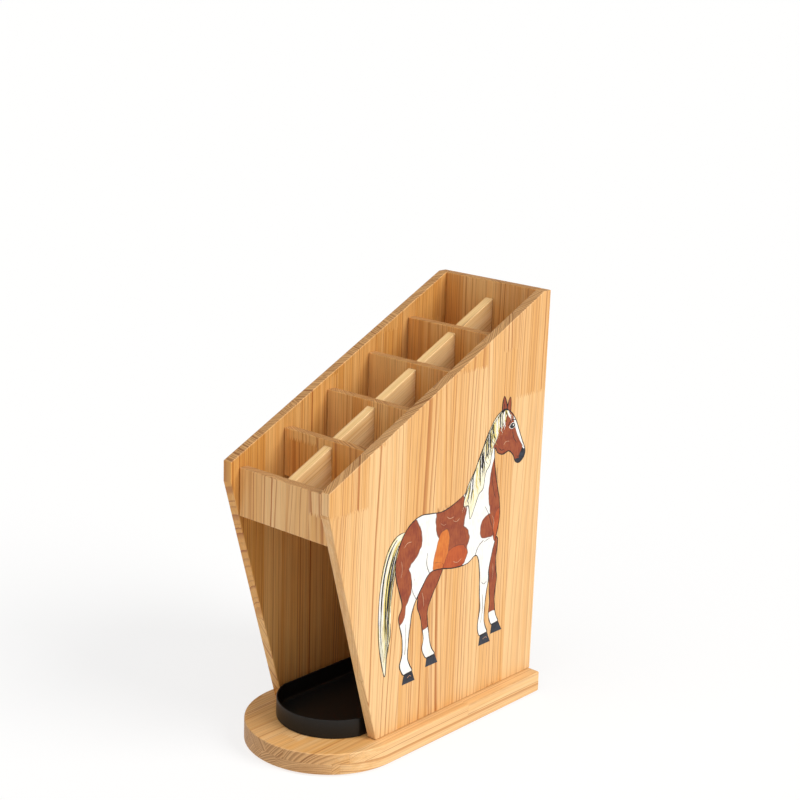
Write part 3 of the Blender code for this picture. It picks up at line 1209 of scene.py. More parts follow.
@dataclass
class Housing:
    """The boards of the stand."""

    dividers: int = 4
    slope: float = math.atan(0.188 / 0.393)
    base_seam: float = 16.5 * MM
    base_roundover: float = 1.6 * MM

    def boards(self) -> list[BoardWork]:
        """Every board, with its own run of timber.

        Returns:
            The boards.
        """
        boards = [
            BoardWork("side_panel_right", Grain.UP_ACROSS_Y, 3.37),
            # The left panel takes a darker copy of the pine: painted shade on its shaded inside.
            BoardWork("side_panel_left", Grain.UP_ACROSS_Y, 8.61, PINE_PAINTED_SHADE),
            # The back panel takes the darkest copy of the pine: painted shade.
            BoardWork("back_panel", Grain.UP_ACROSS_X, 5.22, PINE_DEEP_PAINTED_SHADE),
            BoardWork("base_upper", Grain.FRONT_TO_BACK, 2.14, BASE_PINE, roundover=self.base_roundover,
                      seam=self.base_seam),
            BoardWork("base_lower", Grain.FRONT_TO_BACK, 7.47, FLAT_PINE, seam=self.base_seam),
            BoardWork("front_rail", Grain.UP_ACROSS_X, 4.81),
            BoardWork("centre_divider", Grain.UP_ACROSS_Y, 1.73, PALE_PINE, Slot.PALE_PINE,
                      lean=math.pi / 2 - self.slope),
        ]
        for number in range(1, self.dividers + 1):
            seed = 9.3 + 1.37 * number
            # Each cross divider takes the darkest copy of the pine: painted shade.
            boards.append(BoardWork(f"cross_divider_{number}", Grain.UP_ACROSS_X, seed, PINE_DEEP_PAINTED_SHADE))
        return boards

    def build(self, looks: SharedLooks) -> None:
        """Builds every board."""
        for board in self.boards():
            board.build(looks)


# --------------------------------------------------------------------------------------------------
# Drip tray


@dataclass
class DripTray:
    """The black tray: a moulded dish with a bowed front, a rounded rim and a fillet round its floor."""

    node: str = "drip_tray"
    bow: float = 50.5 * MM
    corner: float = 8.0 * MM
    wall: float = 2.0 * MM
    foot_round: float = 1.2 * MM
    rim_round: float = 0.8 * MM
    fillet: float = 3.2 * MM
    weld: float = 0.01 * MM
    bow_steps: int = 64
    corner_steps: int = 8
    arc_steps: int = 4

    def outline(self, inset: float) -> list[Point]:
        """The outline seen from above.

        Args:
            inset: How far it is drawn in from the tray's outside.

        Returns:
            Its points.
        """
        low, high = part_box(self.node)
        half = high[0]
        radius = (half**2 + self.bow**2) / (2 * self.bow)
        spread = math.asin((half - inset) / (radius - inset))
        front = arc((0.0, low[1] + radius), radius - inset, -math.pi / 2 - spread, -math.pi / 2 + spread,
                    self.bow_steps)
        corner = self.corner - inset
        back_y = high[1] - self.corner
        right = arc((half - self.corner, back_y), corner, 0.0, math.pi / 2, self.corner_steps)
        left = arc((self.corner - half, back_y), corner, math.pi / 2, math.pi, self.corner_steps)
        return front + right + left

    def section(self) -> list[Point]:
        """The wall's section, from the underside up the outside and down the inside.

        Returns:
            Its points, as inset and height.
        """
        low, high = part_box(self.node)
        bottom = low[2]
        rim = high[2] - self.rim_round
        floor = bottom + self.wall
        down, left, up, right = 1.5 * math.pi, math.pi, math.pi / 2, 0.0
        foot = arc((self.foot_round, bottom + self.foot_round), self.foot_round, down, left, self.arc_steps)
        outer = arc((self.rim_round, rim), self.rim_round, left, up, self.arc_steps)
        inner = arc((self.wall - self.rim_round, rim), self.rim_round, up, right, self.arc_steps)
        fillet = arc((self.wall + self.fillet, floor + self.fillet), self.fillet, left, down,
                     2 * self.arc_steps)
        return foot + outer + inner + fillet

    def build(self, looks: SharedLooks) -> Object:
        """Makes the tray and dresses it.

        Args:
            looks: The shared node groups.

        Returns:
            The tray.
        """
        shape = bmesh.new()
        rings = [
            [shape.verts.new((x, y, height)) for x, y in self.outline(inset)]
            for inset, height in self.section()
        ]
        for lower, upper in zip(rings, rings[1:]):
            add_band(shape, lower, upper, len(lower))
        shape.faces.new(rings[0])
        shape.faces.new(rings[-1])
        bmesh.ops.remove_doubles(shape, verts=shape.verts, dist=self.weld)
        bmesh.ops.recalc_face_normals(shape, faces=shape.faces)
        tray = new_object("drip_tray_moulding", mesh_from(self.node, shape), TrayPlastic().dress(looks))
        return finish_piece(even_normals(tray), Body.TRAY, Slot.BLACK_PLASTIC, self.node)


# --------------------------------------------------------------------------------------------------
# Modelling trees


class ModellingTree(Tree):
    """A Geometry Nodes tree that takes a geometry and ends in real, dressed geometry."""

    def __init__(self, name: str, inputs: dict[str, object]) -> None:
        """Makes the tree.

        Args:
            name: Its name.
            inputs: For each input but the geometry and the material, its kind or its first number.
        """
        helper, self.given, self.result = new_group(
            name, MODELLING, {"Geometry": GEOMETRY, **inputs, "Material": MATERIAL}, {"Geometry": GEOMETRY})
        super().__init__(helper.tree)

    def piece(self, kind: str, feeds: dict[str, object] | None = None, **settings: object) -> NodeSocket:
        """Adds a Geometry node and returns its first output."""
        return self.node(f"GeometryNode{kind}", feeds, **settings).outputs[0]

    def circle(self, radius: Value, points: Value) -> NodeSocket:
        """A circle of points."""
        return self.piece("CurvePrimitiveCircle", {"Resolution": points, "Radius": radius}, mode="RADIUS")

    def stepped(self, curve: NodeSocket, count: Value) -> NodeSocket:
        """A curve divided evenly into a count of points."""
        return self.piece("ResampleCurve", {"Curve": curve, "Count": count}, mode="COUNT")

    def swept(self, curve: NodeSocket, profile: NodeSocket, scale: Value) -> NodeSocket:
        """A closed solid swept along a curve."""
        return self.piece("CurveToMesh", {"Curve": curve, "Profile Curve": profile, "Scale": scale,
                                          "Fill Caps": True})

    def stored(self, geometry: NodeSocket, name: str, value: NodeSocket) -> NodeSocket:
        """Keeps a value on a geometry's points."""
        return self.piece("StoreNamedAttribute", {"Geometry": geometry, "Name": name, "Value": value},
                          data_type="FLOAT", domain="POINT")

    def kept(self, name: str) -> NodeSocket:
        """A value that was kept on the points."""
        return self.piece("InputNamedAttribute", {"Name": name}, data_type="FLOAT")

    def along(self) -> NodeSocket:
        """How far along its curve a point lies, from 0 to 1."""
        return self.node("GeometryNodeSplineParameter").outputs["Factor"]

    def added(self, geometry: NodeSocket, offset: NodeSocket) -> NodeSocket:
        """Moves a geometry into place and joins it to the geometry that the tree is given.

        Args:
            geometry: What is added.
            offset: Where it goes.

        Returns:
            Both together.
        """
        moved = self.piece("Transform", {"Geometry": geometry, "Translation": offset})
        joined = self.node("GeometryNodeJoinGeometry")
        for part in (moved, self.given["Geometry"]):
            self.feed(joined.inputs[0], part)
        return joined.outputs[0]

    def finished(self, geometry: NodeSocket) -> NodeModifier:
        """Ends the tree: everything is made real and given its material.

        Args:
            geometry: What the tree makes.

        Returns:
            The tree, ready for use.
        """
        real = self.piece("RealizeInstances", {"Geometry": geometry})
        dressed = self.piece("SetMaterial", {"Geometry": real, "Material": self.given["Material"]})
        self.feed(self.result[0], dressed)
        return NodeModifier(self.tree)


# --------------------------------------------------------------------------------------------------
# Fixings and feet


class FixingNodes:
    """Geometry Nodes that make the dowels, the screws' threads and the feet."""

    def __init__(self) -> None:
        """Builds the trees."""
        self.dowel = self._dowel()
        self.thread = self._thread()
        self.foot_ribs = self._foot_ribs()

    @staticmethod
    def _dowel(points_per_flute: int = 4, chamfered: float = 0.72) -> NodeModifier:
        """A fluted dowel with chamfered ends, swept along the line that it is given.

        Args:
            points_per_flute: How many points of the section make one flute.
            chamfered: The ends' share of the full thickness.

        Returns:
            The tree.
        """
        tree = ModellingTree("fluted_dowel", {
            "Radius": 0.003, "Flutes": 16, "Flute Depth": 0.04, "Chamfer": 0.05, "Steps": 13})
        given = tree.given
        line = tree.stepped(tree.piece("MeshToCurve", {"Mesh": given["Geometry"]}), given["Steps"])
        circle = tree.circle(given["Radius"], tree.times(given["Flutes"], points_per_flute))
        wave = tree.math("COSINE", tree.times(tree.piece("InputIndex"), 2 * math.pi / points_per_flute))
        groove = tree.times(tree.minus(wave, 1.0), given["Flute Depth"])
        fluted = tree.piece("SetPosition", {"Geometry": circle,
                                            "Offset": tree.scaled(tree.piece("InputPosition"), groove)})
        from_end = tree.math("PINGPONG", tree.along(), 0.5)
        width = tree.remap(from_end, 0.0, given["Chamfer"], chamfered, 1.0, "LINEAR")
        return tree.finished(tree.swept(line, fluted, width))

    @staticmethod
    def _thread(fades_after: float = 0.82, point_share: float = 0.3, taper: float = 0.9) -> NodeModifier:
        """A thread that runs round a shank and fades into its point, joined to the screw that it is given.

        Args:
            fades_after: Where along the thread it starts to fade.
            point_share: The ridge's share of its full height at the point.
            taper: The shank's share of its full radius at the point.

        Returns:
            The tree.
        """
        tree = ModellingTree("screw_thread", {
            "Turns": 16.0, "Start": VECTOR, "Length": 0.03, "Radius": 0.0015, "Depth": 0.0005, "Steps": 14})
        given = tree.given
        spiral = tree.piece("CurveSpiral", {
            "Resolution": given["Steps"], "Rotations": given["Turns"], "Start Radius": given["Radius"],
            "End Radius": tree.times(given["Radius"], taper), "Height": given["Length"]})
        ridge = tree.circle(given["Depth"], 4)
        bead = tree.swept(spiral, ridge, tree.remap(tree.along(), fades_after, 1.0, 1.0, point_share))
        return tree.finished(tree.added(bead, given["Start"]))

    @staticmethod
    def _foot_ribs(facets: int = 12, flatness: float = 0.6) -> NodeModifier:
        """Radial ribs on the tread of a foot, joined to the foot that it is given.

        Args:
            facets: How many facets go round the end of a rib.
            flatness: A rib's height as a share of its width.

        Returns:
            The tree.
        """
        tree = ModellingTree("foot_ribs", {
            "Centre": VECTOR, "Ribs": 18, "Radius": 0.006, "Rib Length": 0.002, "Rib Width": 0.0007})
        given = tree.given
        turn = tree.over(tree.times(tree.piece("InputIndex"), 2 * math.pi), given["Ribs"])
        rib = tree.piece("MeshCylinder", {"Vertices": facets, "Radius": given["Rib Width"],
                                          "Depth": given["Rib Width"]})
        stretch = tree.over(given["Rib Length"], tree.times(given["Rib Width"], 2))
        placed = tree.piece("InstanceOnPoints", {
            "Points": tree.circle(given["Radius"], given["Ribs"]), "Instance": rib,
            "Rotation": tree.join(0.0, 0.0, turn), "Scale": tree.join(stretch, 1.0, flatness)})
        return tree.finished(tree.added(placed, given["Centre"]))


@dataclass
class Dowels:
    """The beech dowels in the joints of the housing."""

    prefix: str = "dowel_"
    flutes: int = 16
    flute_depth: float = 0.035
    chamfer: float = 0.05
    seed: float = 0.4

    def build(self, looks: SharedLooks, nodes: FixingNodes) -> None:
        """Makes every dowel in its solid's place.

        Args:
            looks: The shared node groups.
            nodes: The trees for fixings.
        """
        timber = BEECH.dress(looks, "dowel", Grain.ALONG_X.value, self.seed)
        for name, low, middle, high in solids(self.prefix):
            half = (high - low) / 2
            axis = max(range(3), key=lambda number: half[number])
            reach = Vector((0.0, 0.0, 0.0))
            reach[axis] = half[axis]
            axle = line_mesh(name, [middle - reach, middle + reach], [(0, 1)])
            dowel = new_object(name + "_fluted", axle, timber)
            nodes.dowel.apply(dowel, Radius=min(half), Flutes=self.flutes, Flute_Depth=self.flute_depth,
                              Chamfer=self.chamfer, Material=timber)
            shade_round(dowel.data)
            finish_piece(dowel, Body.STAND, Slot.BEECH, name)


@dataclass
class BaseScrews:
    """Countersunk screws that hold the base to the panels, their heads in recesses under the base."""

    prefix: str = "screw_"
    head_radius: float = 4.0 * MM
    head_height: float = 3.0 * MM
    rim: float = 0.5 * MM
    bevel: float = 0.1 * MM
    shank_radius: float = 1.45 * MM
    neck: float = 0.2 * MM
    thread_depth: float = 0.5 * MM
    thread_pitch: float = 1.8 * MM
    plain_length: float = 14.0 * MM
    point: float = 5.0 * MM
    slot_depth: float = 1.5 * MM
    slot_reach: float = 2.1 * MM
    slot_half_width: float = 0.45 * MM
    slot_rings: Sequence[float] = (1.3, 1.0, 0.75, 0.5, 0.3, 0.18)
    steps: int = 32

    def build(self, looks: SharedLooks, nodes: FixingNodes) -> None:
        """Makes every screw in its solid's place.

        Args:
            looks: The shared node groups.
            nodes: The trees for fixings.
        """
        steel = ZincPlate().dress(looks)
        for name, low, middle, high in solids(self.prefix):
            screw = new_object(name + "_threaded", self._blank(name, middle, low.z, high.z), steel)
            length = high.z - low.z - self.head_height - self.plain_length - self.point
            start = (middle.x, middle.y, low.z + self.head_height + self.plain_length)
            nodes.thread.apply(screw, Turns=length / self.thread_pitch, Start=start, Length=length,
                               Radius=self.shank_radius, Depth=self.thread_depth, Material=steel)
            shade_round(screw.data)
            finish_piece(screw, Body.STAND, Slot.ZINC, name)

    def _blank(self, name: str, middle: Vector, bottom: float, top: float) -> Mesh:
        """The screw without its thread, with a cross pressed into its head.

        Args:
            name: The mesh's name.
            middle: A point of the screw's axis.
            bottom: The height of its head's face.
            top: The height of its point.

        Returns:
            The mesh.
        """
        under_head = bottom + self.head_height
        profile = [
            (0.0, top),
            (self.shank_radius * 0.9, top - self.point),
            (self.shank_radius, under_head + self.neck),
            (self.shank_radius * 1.15, under_head),
            (self.head_radius, bottom + self.rim),
            (self.head_radius, bottom + self.bevel),
            (self.head_radius - self.bevel, bottom),
            *((self.slot_reach * share, bottom) for share in self.slot_rings),
            (0.0, bottom),
        ]
        mesh = turned_mesh(name, profile, middle, self.steps)
        for vertex in mesh.vertices:
            x, y, z = vertex.co - Vector((middle.x, middle.y, bottom))
            from_axis = math.hypot(x, y) / self.slot_reach
            in_slot = min(abs(x), abs(y)) < self.slot_half_width and from_axis < 1.02
            if abs(z) < 0.01 * MM and in_slot:
                vertex.co.z += self.slot_depth * (1.0 - 0.45 * from_axis)
        return mesh


@dataclass
class Feet:
    """Push-in rubber feet with a ribbed tread."""

    prefix: str = "foot_"
    edge: float = 0.5 * MM
    edge_steps: int = 4
    stem_radius: float = 3.0 * MM
    stem_point: float = 1.0 * MM
    pad: float = 2.2 * MM
    groove: float = 0.5 * MM
    ribs: int = 20
    rib_rise: float = 0.35 * MM
    rib_width: float = 0.45 * MM
    steps: int = 48

    def build(self, looks: SharedLooks, nodes: FixingNodes) -> None:
        """Makes every foot in its solid's place.

        Args:
            looks: The shared node groups.
            nodes: The trees for fixings.
        """
        rubber = FootRubber().dress(looks)
        for name, low, middle, high in solids(self.prefix):
            radius = (high.x - low.x) / 2
            mesh = turned_mesh(name, self._profile(radius, low.z, high.z), middle, self.steps)
            foot = new_object(name + "_ribbed", mesh, rubber)
            nodes.foot_ribs.apply(foot, Centre=(middle.x, middle.y, low.z + self.rib_rise), Ribs=self.ribs,
                                  Radius=radius * 0.64, Rib_Length=radius * 0.3, Rib_Width=self.rib_width,
                                  Material=rubber)
            shade_round(foot.data)
            finish_piece(foot, Body.STAND, Slot.RUBBER, name)

    def _profile(self, radius: float, bottom: float, top: float) -> list[Point]:
        """The foot's section: a raised outer ring and a raised middle round a shallow groove.

        Args:
            radius: The foot's radius.
            bottom: The height of its tread.
            top: The height of its stem's end.

        Returns:
            The section, as radius and height.
        """
        deck = bottom + self.pad
        rim = radius - self.edge
        stem = [(0.0, top), (self.stem_radius * 0.8, top), (self.stem_radius, top - self.stem_point),
                (self.stem_radius, deck)]
        corner = arc((rim, deck - self.edge), self.edge, math.pi / 2, 0.0, self.edge_steps)
        tread = arc((rim, bottom + self.edge), self.edge, 0.0, -math.pi / 2, self.edge_steps)
        groove = [(radius * 0.84, bottom), (radius * 0.8, bottom + self.groove),
                  (radius * 0.46, bottom + self.groove), (radius * 0.42, bottom), (0.0, bottom)]
        return stem + corner + tread + groove


# --------------------------------------------------------------------------------------------------
# Painted horse


class PaintNodes:
    """Geometry Nodes that lay brush strokes and locks of hair as low beads of paint."""

    def __init__(self) -> None:
        """Builds the trees."""
        self.strokes = self._strokes()
        self.locks = self._locks()

    @staticmethod
    def _bead(tree: ModellingTree, curve: NodeSocket, width: Value, facets: int = 6) -> NodeModifier:
        """Sweeps curves into beads, presses them flat against their level, and ends the tree.

        Args:
            tree: The tree.
            curve: The curves.
            width: The beads' width.
            facets: How many facets go round a bead.

        Returns:
            The tree, ready for use.
        """
        place = tree.piece("InputPosition")
        x, y, z = tree.split(place)
        bead = tree.swept(tree.stored(curve, LEVEL, x), tree.circle(0.5, facets), width)
        level = tree.kept(LEVEL)
        pressed = tree.math("MULTIPLY_ADD", tree.minus(x, level), tree.given["Thickness"], level)
        flat = tree.piece("SetPosition", {"Geometry": bead, "Position": tree.join(pressed, y, z)})
        return tree.finished(tree.piece("SetShadeSmooth", {"Geometry": flat}))

    @classmethod
    def _strokes(cls) -> NodeModifier:
        """Lines along paths, thinner towards their ends and uneven on the way.

        Returns:
            The tree.
        """
        tree = ModellingTree("brush_strokes", {"Spacing": 0.001, "Unevenness": 0.5, "Taper": 0.08,
                                               "Thickness": 0.2})
        given = tree.given
        paths = tree.piece("MeshToCurve", {"Mesh": given["Geometry"]})
        fine = tree.piece("ResampleCurve", {"Curve": paths, "Length": given["Spacing"]}, mode="LENGTH")
        ragged = tree.minus(tree.noise(tree.piece("InputPosition"), 85.0), 0.5)
        ragged = tree.math("MULTIPLY_ADD", ragged, tree.times(given["Unevenness"], 2.0), 1.0)
        ends = tree.remap(tree.math("PINGPONG", tree.along(), 0.5), 0.0, given["Taper"], 0.25, 1.0)
        return cls._bead(tree, fine, tree.times(tree.kept(WIDTH), ragged, ends))

    @classmethod
    def _locks(cls) -> NodeModifier:
        """Locks of hair between two guide paths, along them or from the first one to the second one.

        Returns:
            The tree.
        """
        tree = ModellingTree("hair_locks", {
            "Count": 20, "Steps": 24, "Along": 1.0, "Width": 0.002, "Wave": 0.004, "Sag": 0.0,
            "Spread": 0.0001, "Seed": 1, "Thickness": 0.2})
        given = tree.given
        along = given["Along"]

        # A straight line of points for each lock
        guides = tree.piece("MeshToCurve", {"Mesh": given["Geometry"]})
        roots = tree.piece("MeshLine", {"Count": given["Count"]}, mode="OFFSET")
        line = tree.stepped(tree.piece("CurvePrimitiveLine"), given["Steps"])
        placed = tree.piece("InstanceOnPoints", {"Points": roots, "Instance": line})
        real = tree.piece("RealizeInstances", {"Geometry": placed})
        of_curve = tree.node("GeometryNodeCurveOfPoint").outputs
        lock = of_curve["Curve Index"]
        down = tree.over(of_curve["Index in Curve"], tree.minus(given["Steps"], 1.0))
        luck = [cls._luck(tree, lock, number) for number in range(4)]

        # Where each lock starts and ends between the guides
        share = tree.over(tree.plus(lock, luck[0]), given["Count"])
        start = tree.times(luck[1], 0.3)
        end = tree.minus(1.0, tree.times(luck[2], 0.12))
        run = tree.math("MULTIPLY_ADD", down, tree.minus(end, start), start)
        reach = tree.times(down, tree.math("MULTIPLY_ADD", luck[1], 0.45, 0.6))
        on_guide = tree.math("MULTIPLY_ADD", tree.minus(run, share), along, share)
        between = tree.math("MULTIPLY_ADD", tree.minus(share, reach), along, reach)
        ends = []
        for number in range(2):
            sample = tree.node("GeometryNodeSampleCurve", {"Curves": guides, "Factor": on_guide,
                                                           "Curve Index": number}, mode="FACTOR")
            ends.append(sample.outputs["Position"])
        spot = tree.vector("ADD", ends[0], tree.scaled(tree.vector("SUBTRACT", ends[1], ends[0]), between))

        # How it waves, sags and lifts off the panel
        seeds = tree.join(tree.times(lock, 7.31), tree.times(down, 2.4), given["Seed"])
        sway = tree.times(tree.swing(tree.noise(seeds, 1.0, 1.0), given["Wave"]), tree.times(down, 2.0))
        bow = tree.times(tree.math("SINE", tree.times(down, math.pi)), given["Sag"])
        lift = tree.times(luck[3], given["Spread"])
        spot = tree.vector("ADD", spot, tree.join(lift, sway, bow))
        moved = tree.piece("SetPosition", {"Geometry": real, "Position": spot})

        swell = tree.times(tree.remap(down, 0.0, 0.12, 0.45, 1.0), tree.remap(down, 0.45, 1.0, 1.0, 0.12))
        width = tree.times(tree.math("MULTIPLY_ADD", luck[2], 0.9, 0.5), given["Width"], swell)
        return cls._bead(tree, tree.stored(moved, TONE, luck[3]), width)

    @staticmethod
    def _luck(tree: ModellingTree, lock: NodeSocket, number: int) -> NodeSocket:
        """A random number between 0 and 1 for each lock.

        Args:
            tree: The tree.
            lock: The lock's number.
            number: Which of its random numbers this is.

        Returns:
            The random number.
        """
        seed = tree.plus(tree.given["Seed"], number)
        value = tree.node("FunctionNodeRandomValue", {"ID": lock, "Seed": seed}, data_type="FLOAT")
        return next(socket for socket in value.outputs if socket.identifier == "Value_001")


class Layer(Enum):
    """How high each coat of paint stands off the panel, in millimetres."""

    FAR = 0.06
    FAR_LINE = 0.08
    NEAR = 0.20
    DETAIL = 0.26
    LINE = 0.27
    HAIR = 0.30

    @property
    def height(self) -> float:
        """The height in metres."""
        return self.value * MM


@dataclass(frozen=True)
class Line:
    """One painted line: its points in millimetres on the panel, its layer and its width."""

    points: Sequence[Point]
    layer: Layer = Layer.LINE
    width: float = 0.8
    closed: bool = False


@dataclass(frozen=True)
class Hair:
    """One run of locks: its guide paths, its layer and its count, and in millimetres how its locks lie."""

    name: str
    roots: Sequence[Point]
    tips: Sequence[Point]
    layer: Layer
    count: int
    width: float
    wave: float
    along: float = 0.0
    sag: float = 0.0
    inked: bool = False


# The horse's outlines, in millimetres: Y forward along the panel and Z above the floor
BODY_OUTLINE = (
    (52, 321), (30, 311), (6, 305), (-16, 307), (-36, 309), (-54, 303), (-68, 290), (-78, 271), (-81, 251),
    (-77, 231), (-70, 212), (-66, 197), (-72, 184), (-69, 171), (-64, 154), (-63, 132), (-67, 119),
    (-64, 110), (-58, 103), (-43, 104), (-48, 114), (-52, 124), (-52, 140), (-51, 157), (-49, 170),
    (-47, 184), (-40, 199), (-29, 214), (-16, 228), (2, 229), (32, 223), (58, 222), (74, 229), (81, 222),
    (85, 203), (86, 188), (87, 172), (89, 152), (86, 130), (87, 120), (92, 112), (106, 113), (102, 123),
    (99, 133), (99, 152), (101, 171), (104, 186), (104, 202), (109, 224), (116, 246), (121, 268),
    (120, 290), (115, 310), (109, 332), (105, 352), (105, 368), (111, 360), (122, 356), (134, 358),
    (144, 350), (148, 342), (154, 338), (161, 339), (168, 346), (168, 355), (161, 368), (153, 384),
    (145, 399), (135, 410), (121, 416), (107, 407), (95, 391), (83, 369), (71, 345), (62, 330),
)
FAR_HIND_LEG = (
    (-42, 240), (-42, 216), (-37, 201), (-37, 188), (-31, 175), (-27, 160), (-23, 142), (-25, 130),
    (-22, 121), (-15, 113), (0, 114), (-6, 124), (-10, 134), (-13, 148), (-16, 163), (-17, 177), (-13, 189),
    (-5, 203), (4, 216), (8, 236),
)
FAR_FORELEG = (
    (86, 240), (97, 213), (104, 198), (106, 187), (107, 174), (109, 156), (108, 139), (110, 130),
    (116, 121), (129, 122), (124, 132), (121, 142), (119, 157), (120, 172), (122, 187), (119, 200),
    (118, 216), (118, 244),
)
NEAR_EAR = ((118, 411), (116, 420), (119, 434), (125, 423), (127, 410))
FAR_EAR = ((126, 409), (127, 421), (132, 431), (134, 420), (133, 407))
TAIL_OUTLINE = (
    (-64, 293), (-80, 292), (-95, 277), (-104, 252), (-108, 222), (-109, 190), (-107, 160), (-101, 132),
    (-94, 112), (-92, 136), (-90, 148), (-86, 166), (-88, 190), (-86, 216), (-82, 240), (-76, 262),
    (-70, 278),
)
MANE_OUTLINE = (
    (124, 417), (106, 410), (91, 392), (78, 369), (66, 346), (52, 326), (46, 303), (56, 300), (60, 282),
    (70, 300), (76, 312), (84, 318), (88, 338), (96, 348), (99, 366), (107, 378), (112, 392), (120, 398),
    (127, 408),
)
TAIL_LEFT = ((-66, 292), (-84, 289), (-98, 268), (-106, 236), (-108, 196), (-106, 158), (-96, 110))
TAIL_RIGHT = ((-66, 286), (-76, 266), (-83, 238), (-87, 210), (-87, 184), (-87, 160), (-93, 128))
MANE_ROOTS = ((124, 415), (107, 408), (93, 390), (80, 368), (68, 345), (54, 325))
MANE_TIPS = ((125, 392), (106, 372), (90, 344), (77, 318), (64, 298), (44, 296))
CREST_ROOTS = ((118, 414), (103, 405), (89, 387), (76, 365), (64, 342), (51, 321))
CREST_TIPS = ((109, 405), (94, 391), (81, 371), (68, 348), (56, 326), (44, 305))
FORELOCK_ROOTS = ((124, 415), (131, 411))
FORELOCK_TIPS = ((134, 397), (141, 401))
HOOF_OUTLINES = (
    ((-58, 104), (-61, 90), (-37, 90), (-43, 105)),
    ((92, 113), (90, 98), (114, 98), (106, 114)),
)
FAR_HOOF_OUTLINES = (
    ((-15, 114), (-17, 101), (7, 101), (0, 115)),
    ((116, 122), (114, 108), (138, 108), (129, 123)),
)
EYE_WHITE_OUTLINE = (
    (132.3, 390.2), (136.6, 394.9), (142, 394.7), (145.7, 390.6), (141, 387.2), (136.4, 387.5),
)
EYE_OUTLINE = (
    (133.3, 390.5), (137, 394.3), (142, 394.1), (144.7, 390.7), (141, 387.7), (136.6, 388.0),
)
EYE_LIGHT = ((139.5, 391.4), (141.0, 393.0), (142.4, 391.8), (141.0, 390.4))
NOSTRIL_OUTLINE = ((160, 352), (162, 357), (165, 355), (163, 350))
INNER_LINES = (
    Line(((113, 366), (118, 362), (124, 362)), width=1.0),
    Line(((166, 343), (159, 346), (152, 347)), width=1.1),
    Line(((130, 392), (136, 399), (145, 398)), width=1.2),
    Line(((150, 366), (143, 374), (140, 383)), width=0.9), Line(((74, 229), (80, 240), (90, 246)), width=1.0),
    Line(((112, 244), (106, 262), (98, 280), (90, 292)), width=0.9),
    Line(((-16, 228), (-22, 242), (-21, 257)), width=1.0),
    Line(((-40, 200), (-48, 214), (-50, 228)), width=0.8), Line(((93, 170), (95, 150), (92, 130)), width=0.7),
    Line(((-58, 172), (-57, 152), (-58, 130)), width=0.7),
    Line(((90, 188), (95, 184), (101, 187)), width=0.7), Line(((120, 414), (120, 424)), width=1.0),
    Line(((100, 342), (104, 318), (110, 300)), width=0.7),
)
COAT_BROWN = (
    Patch((134, 384), (30, 26), 0.7, 0.1), Patch((118, 376), (17, 24), -0.2, 0.1),
    Patch((146, 356), (18, 16), 0.9, 0.1), Patch((110, 332), (12, 42), 0.2, 0.3),
    Patch((115, 284), (14, 28), -0.2, 0.3), Patch((99, 262), (17, 17), 0.3),
    Patch((22, 294), (31, 30), 0.15), Patch((36, 252), (23, 26), 0.4), Patch((-60, 274), (25, 32), 0.3),
    Patch((-70, 226), (21, 30), -0.25), Patch((-73, 196), (13, 24)),
)
COAT_RUST = (Patch((30, 234), (30, 17), -0.1), Patch((118, 262), (10, 22), 0.1, 0.4))
COAT_ORANGE = (Patch((6, 250), (13, 30), 0.25),)
COAT_SLATE = (Patch((165, 345), (9, 10), 0.3, 0.2), Patch((154, 339), (8, 5), 0.2, 0.2))
COAT_WHITE = (Patch((157, 384), (9, 32), -0.48, 0.25),)
FAR_COAT_WHITE = (Patch((-12, 132), (24, 26)), Patch((118, 128), (20, 12)))
LIGHT_LINES = (
    Line(((14, 296), (20, 292), (28, 293)), width=0.9), Line(((26, 288), (33, 285), (39, 288)), width=0.8),
    Line(((2, 290), (8, 286), (13, 287)), width=0.8), Line(((-66, 274), (-60, 279), (-52, 279)), width=0.9),
    Line(((-70, 258), (-68, 246), (-70, 236)), width=0.9), Line(((30, 232), (38, 229), (46, 232)), width=0.8),
    Line(((112, 340), (113, 328), (116, 318)), width=0.9),
    Line(((106, 276), (110, 266), (108, 256)), width=0.8),
    Line(((122, 368), (127, 372), (134, 371)), width=0.8),
    Line(((-29, 206), (-26, 196), (-25, 186)), width=0.8),
    Line(((112, 208), (113, 196), (112, 186)), width=0.8), Line(((-52, 97), (-47, 99), (-44, 97)), width=0.8),
    Line(((98, 105), (103, 107), (107, 105)), width=0.8),
)
HAIR = (
    Hair("horse_tail_locks", TAIL_LEFT, TAIL_RIGHT, Layer.FAR_LINE, 40, width=1.7, wave=5.0, along=1.0),
    Hair("horse_crest_locks", CREST_ROOTS, CREST_TIPS, Layer.LINE, 38, width=1.0, wave=4.0, inked=True),
    Hair("horse_mane_locks", MANE_ROOTS, MANE_TIPS, Layer.HAIR, 80, width=1.9, wave=9.0, sag=-3.0),
    Hair("horse_forelock", FORELOCK_ROOTS, FORELOCK_TIPS, Layer.HAIR, 6, width=1.8, wave=4.0),
)


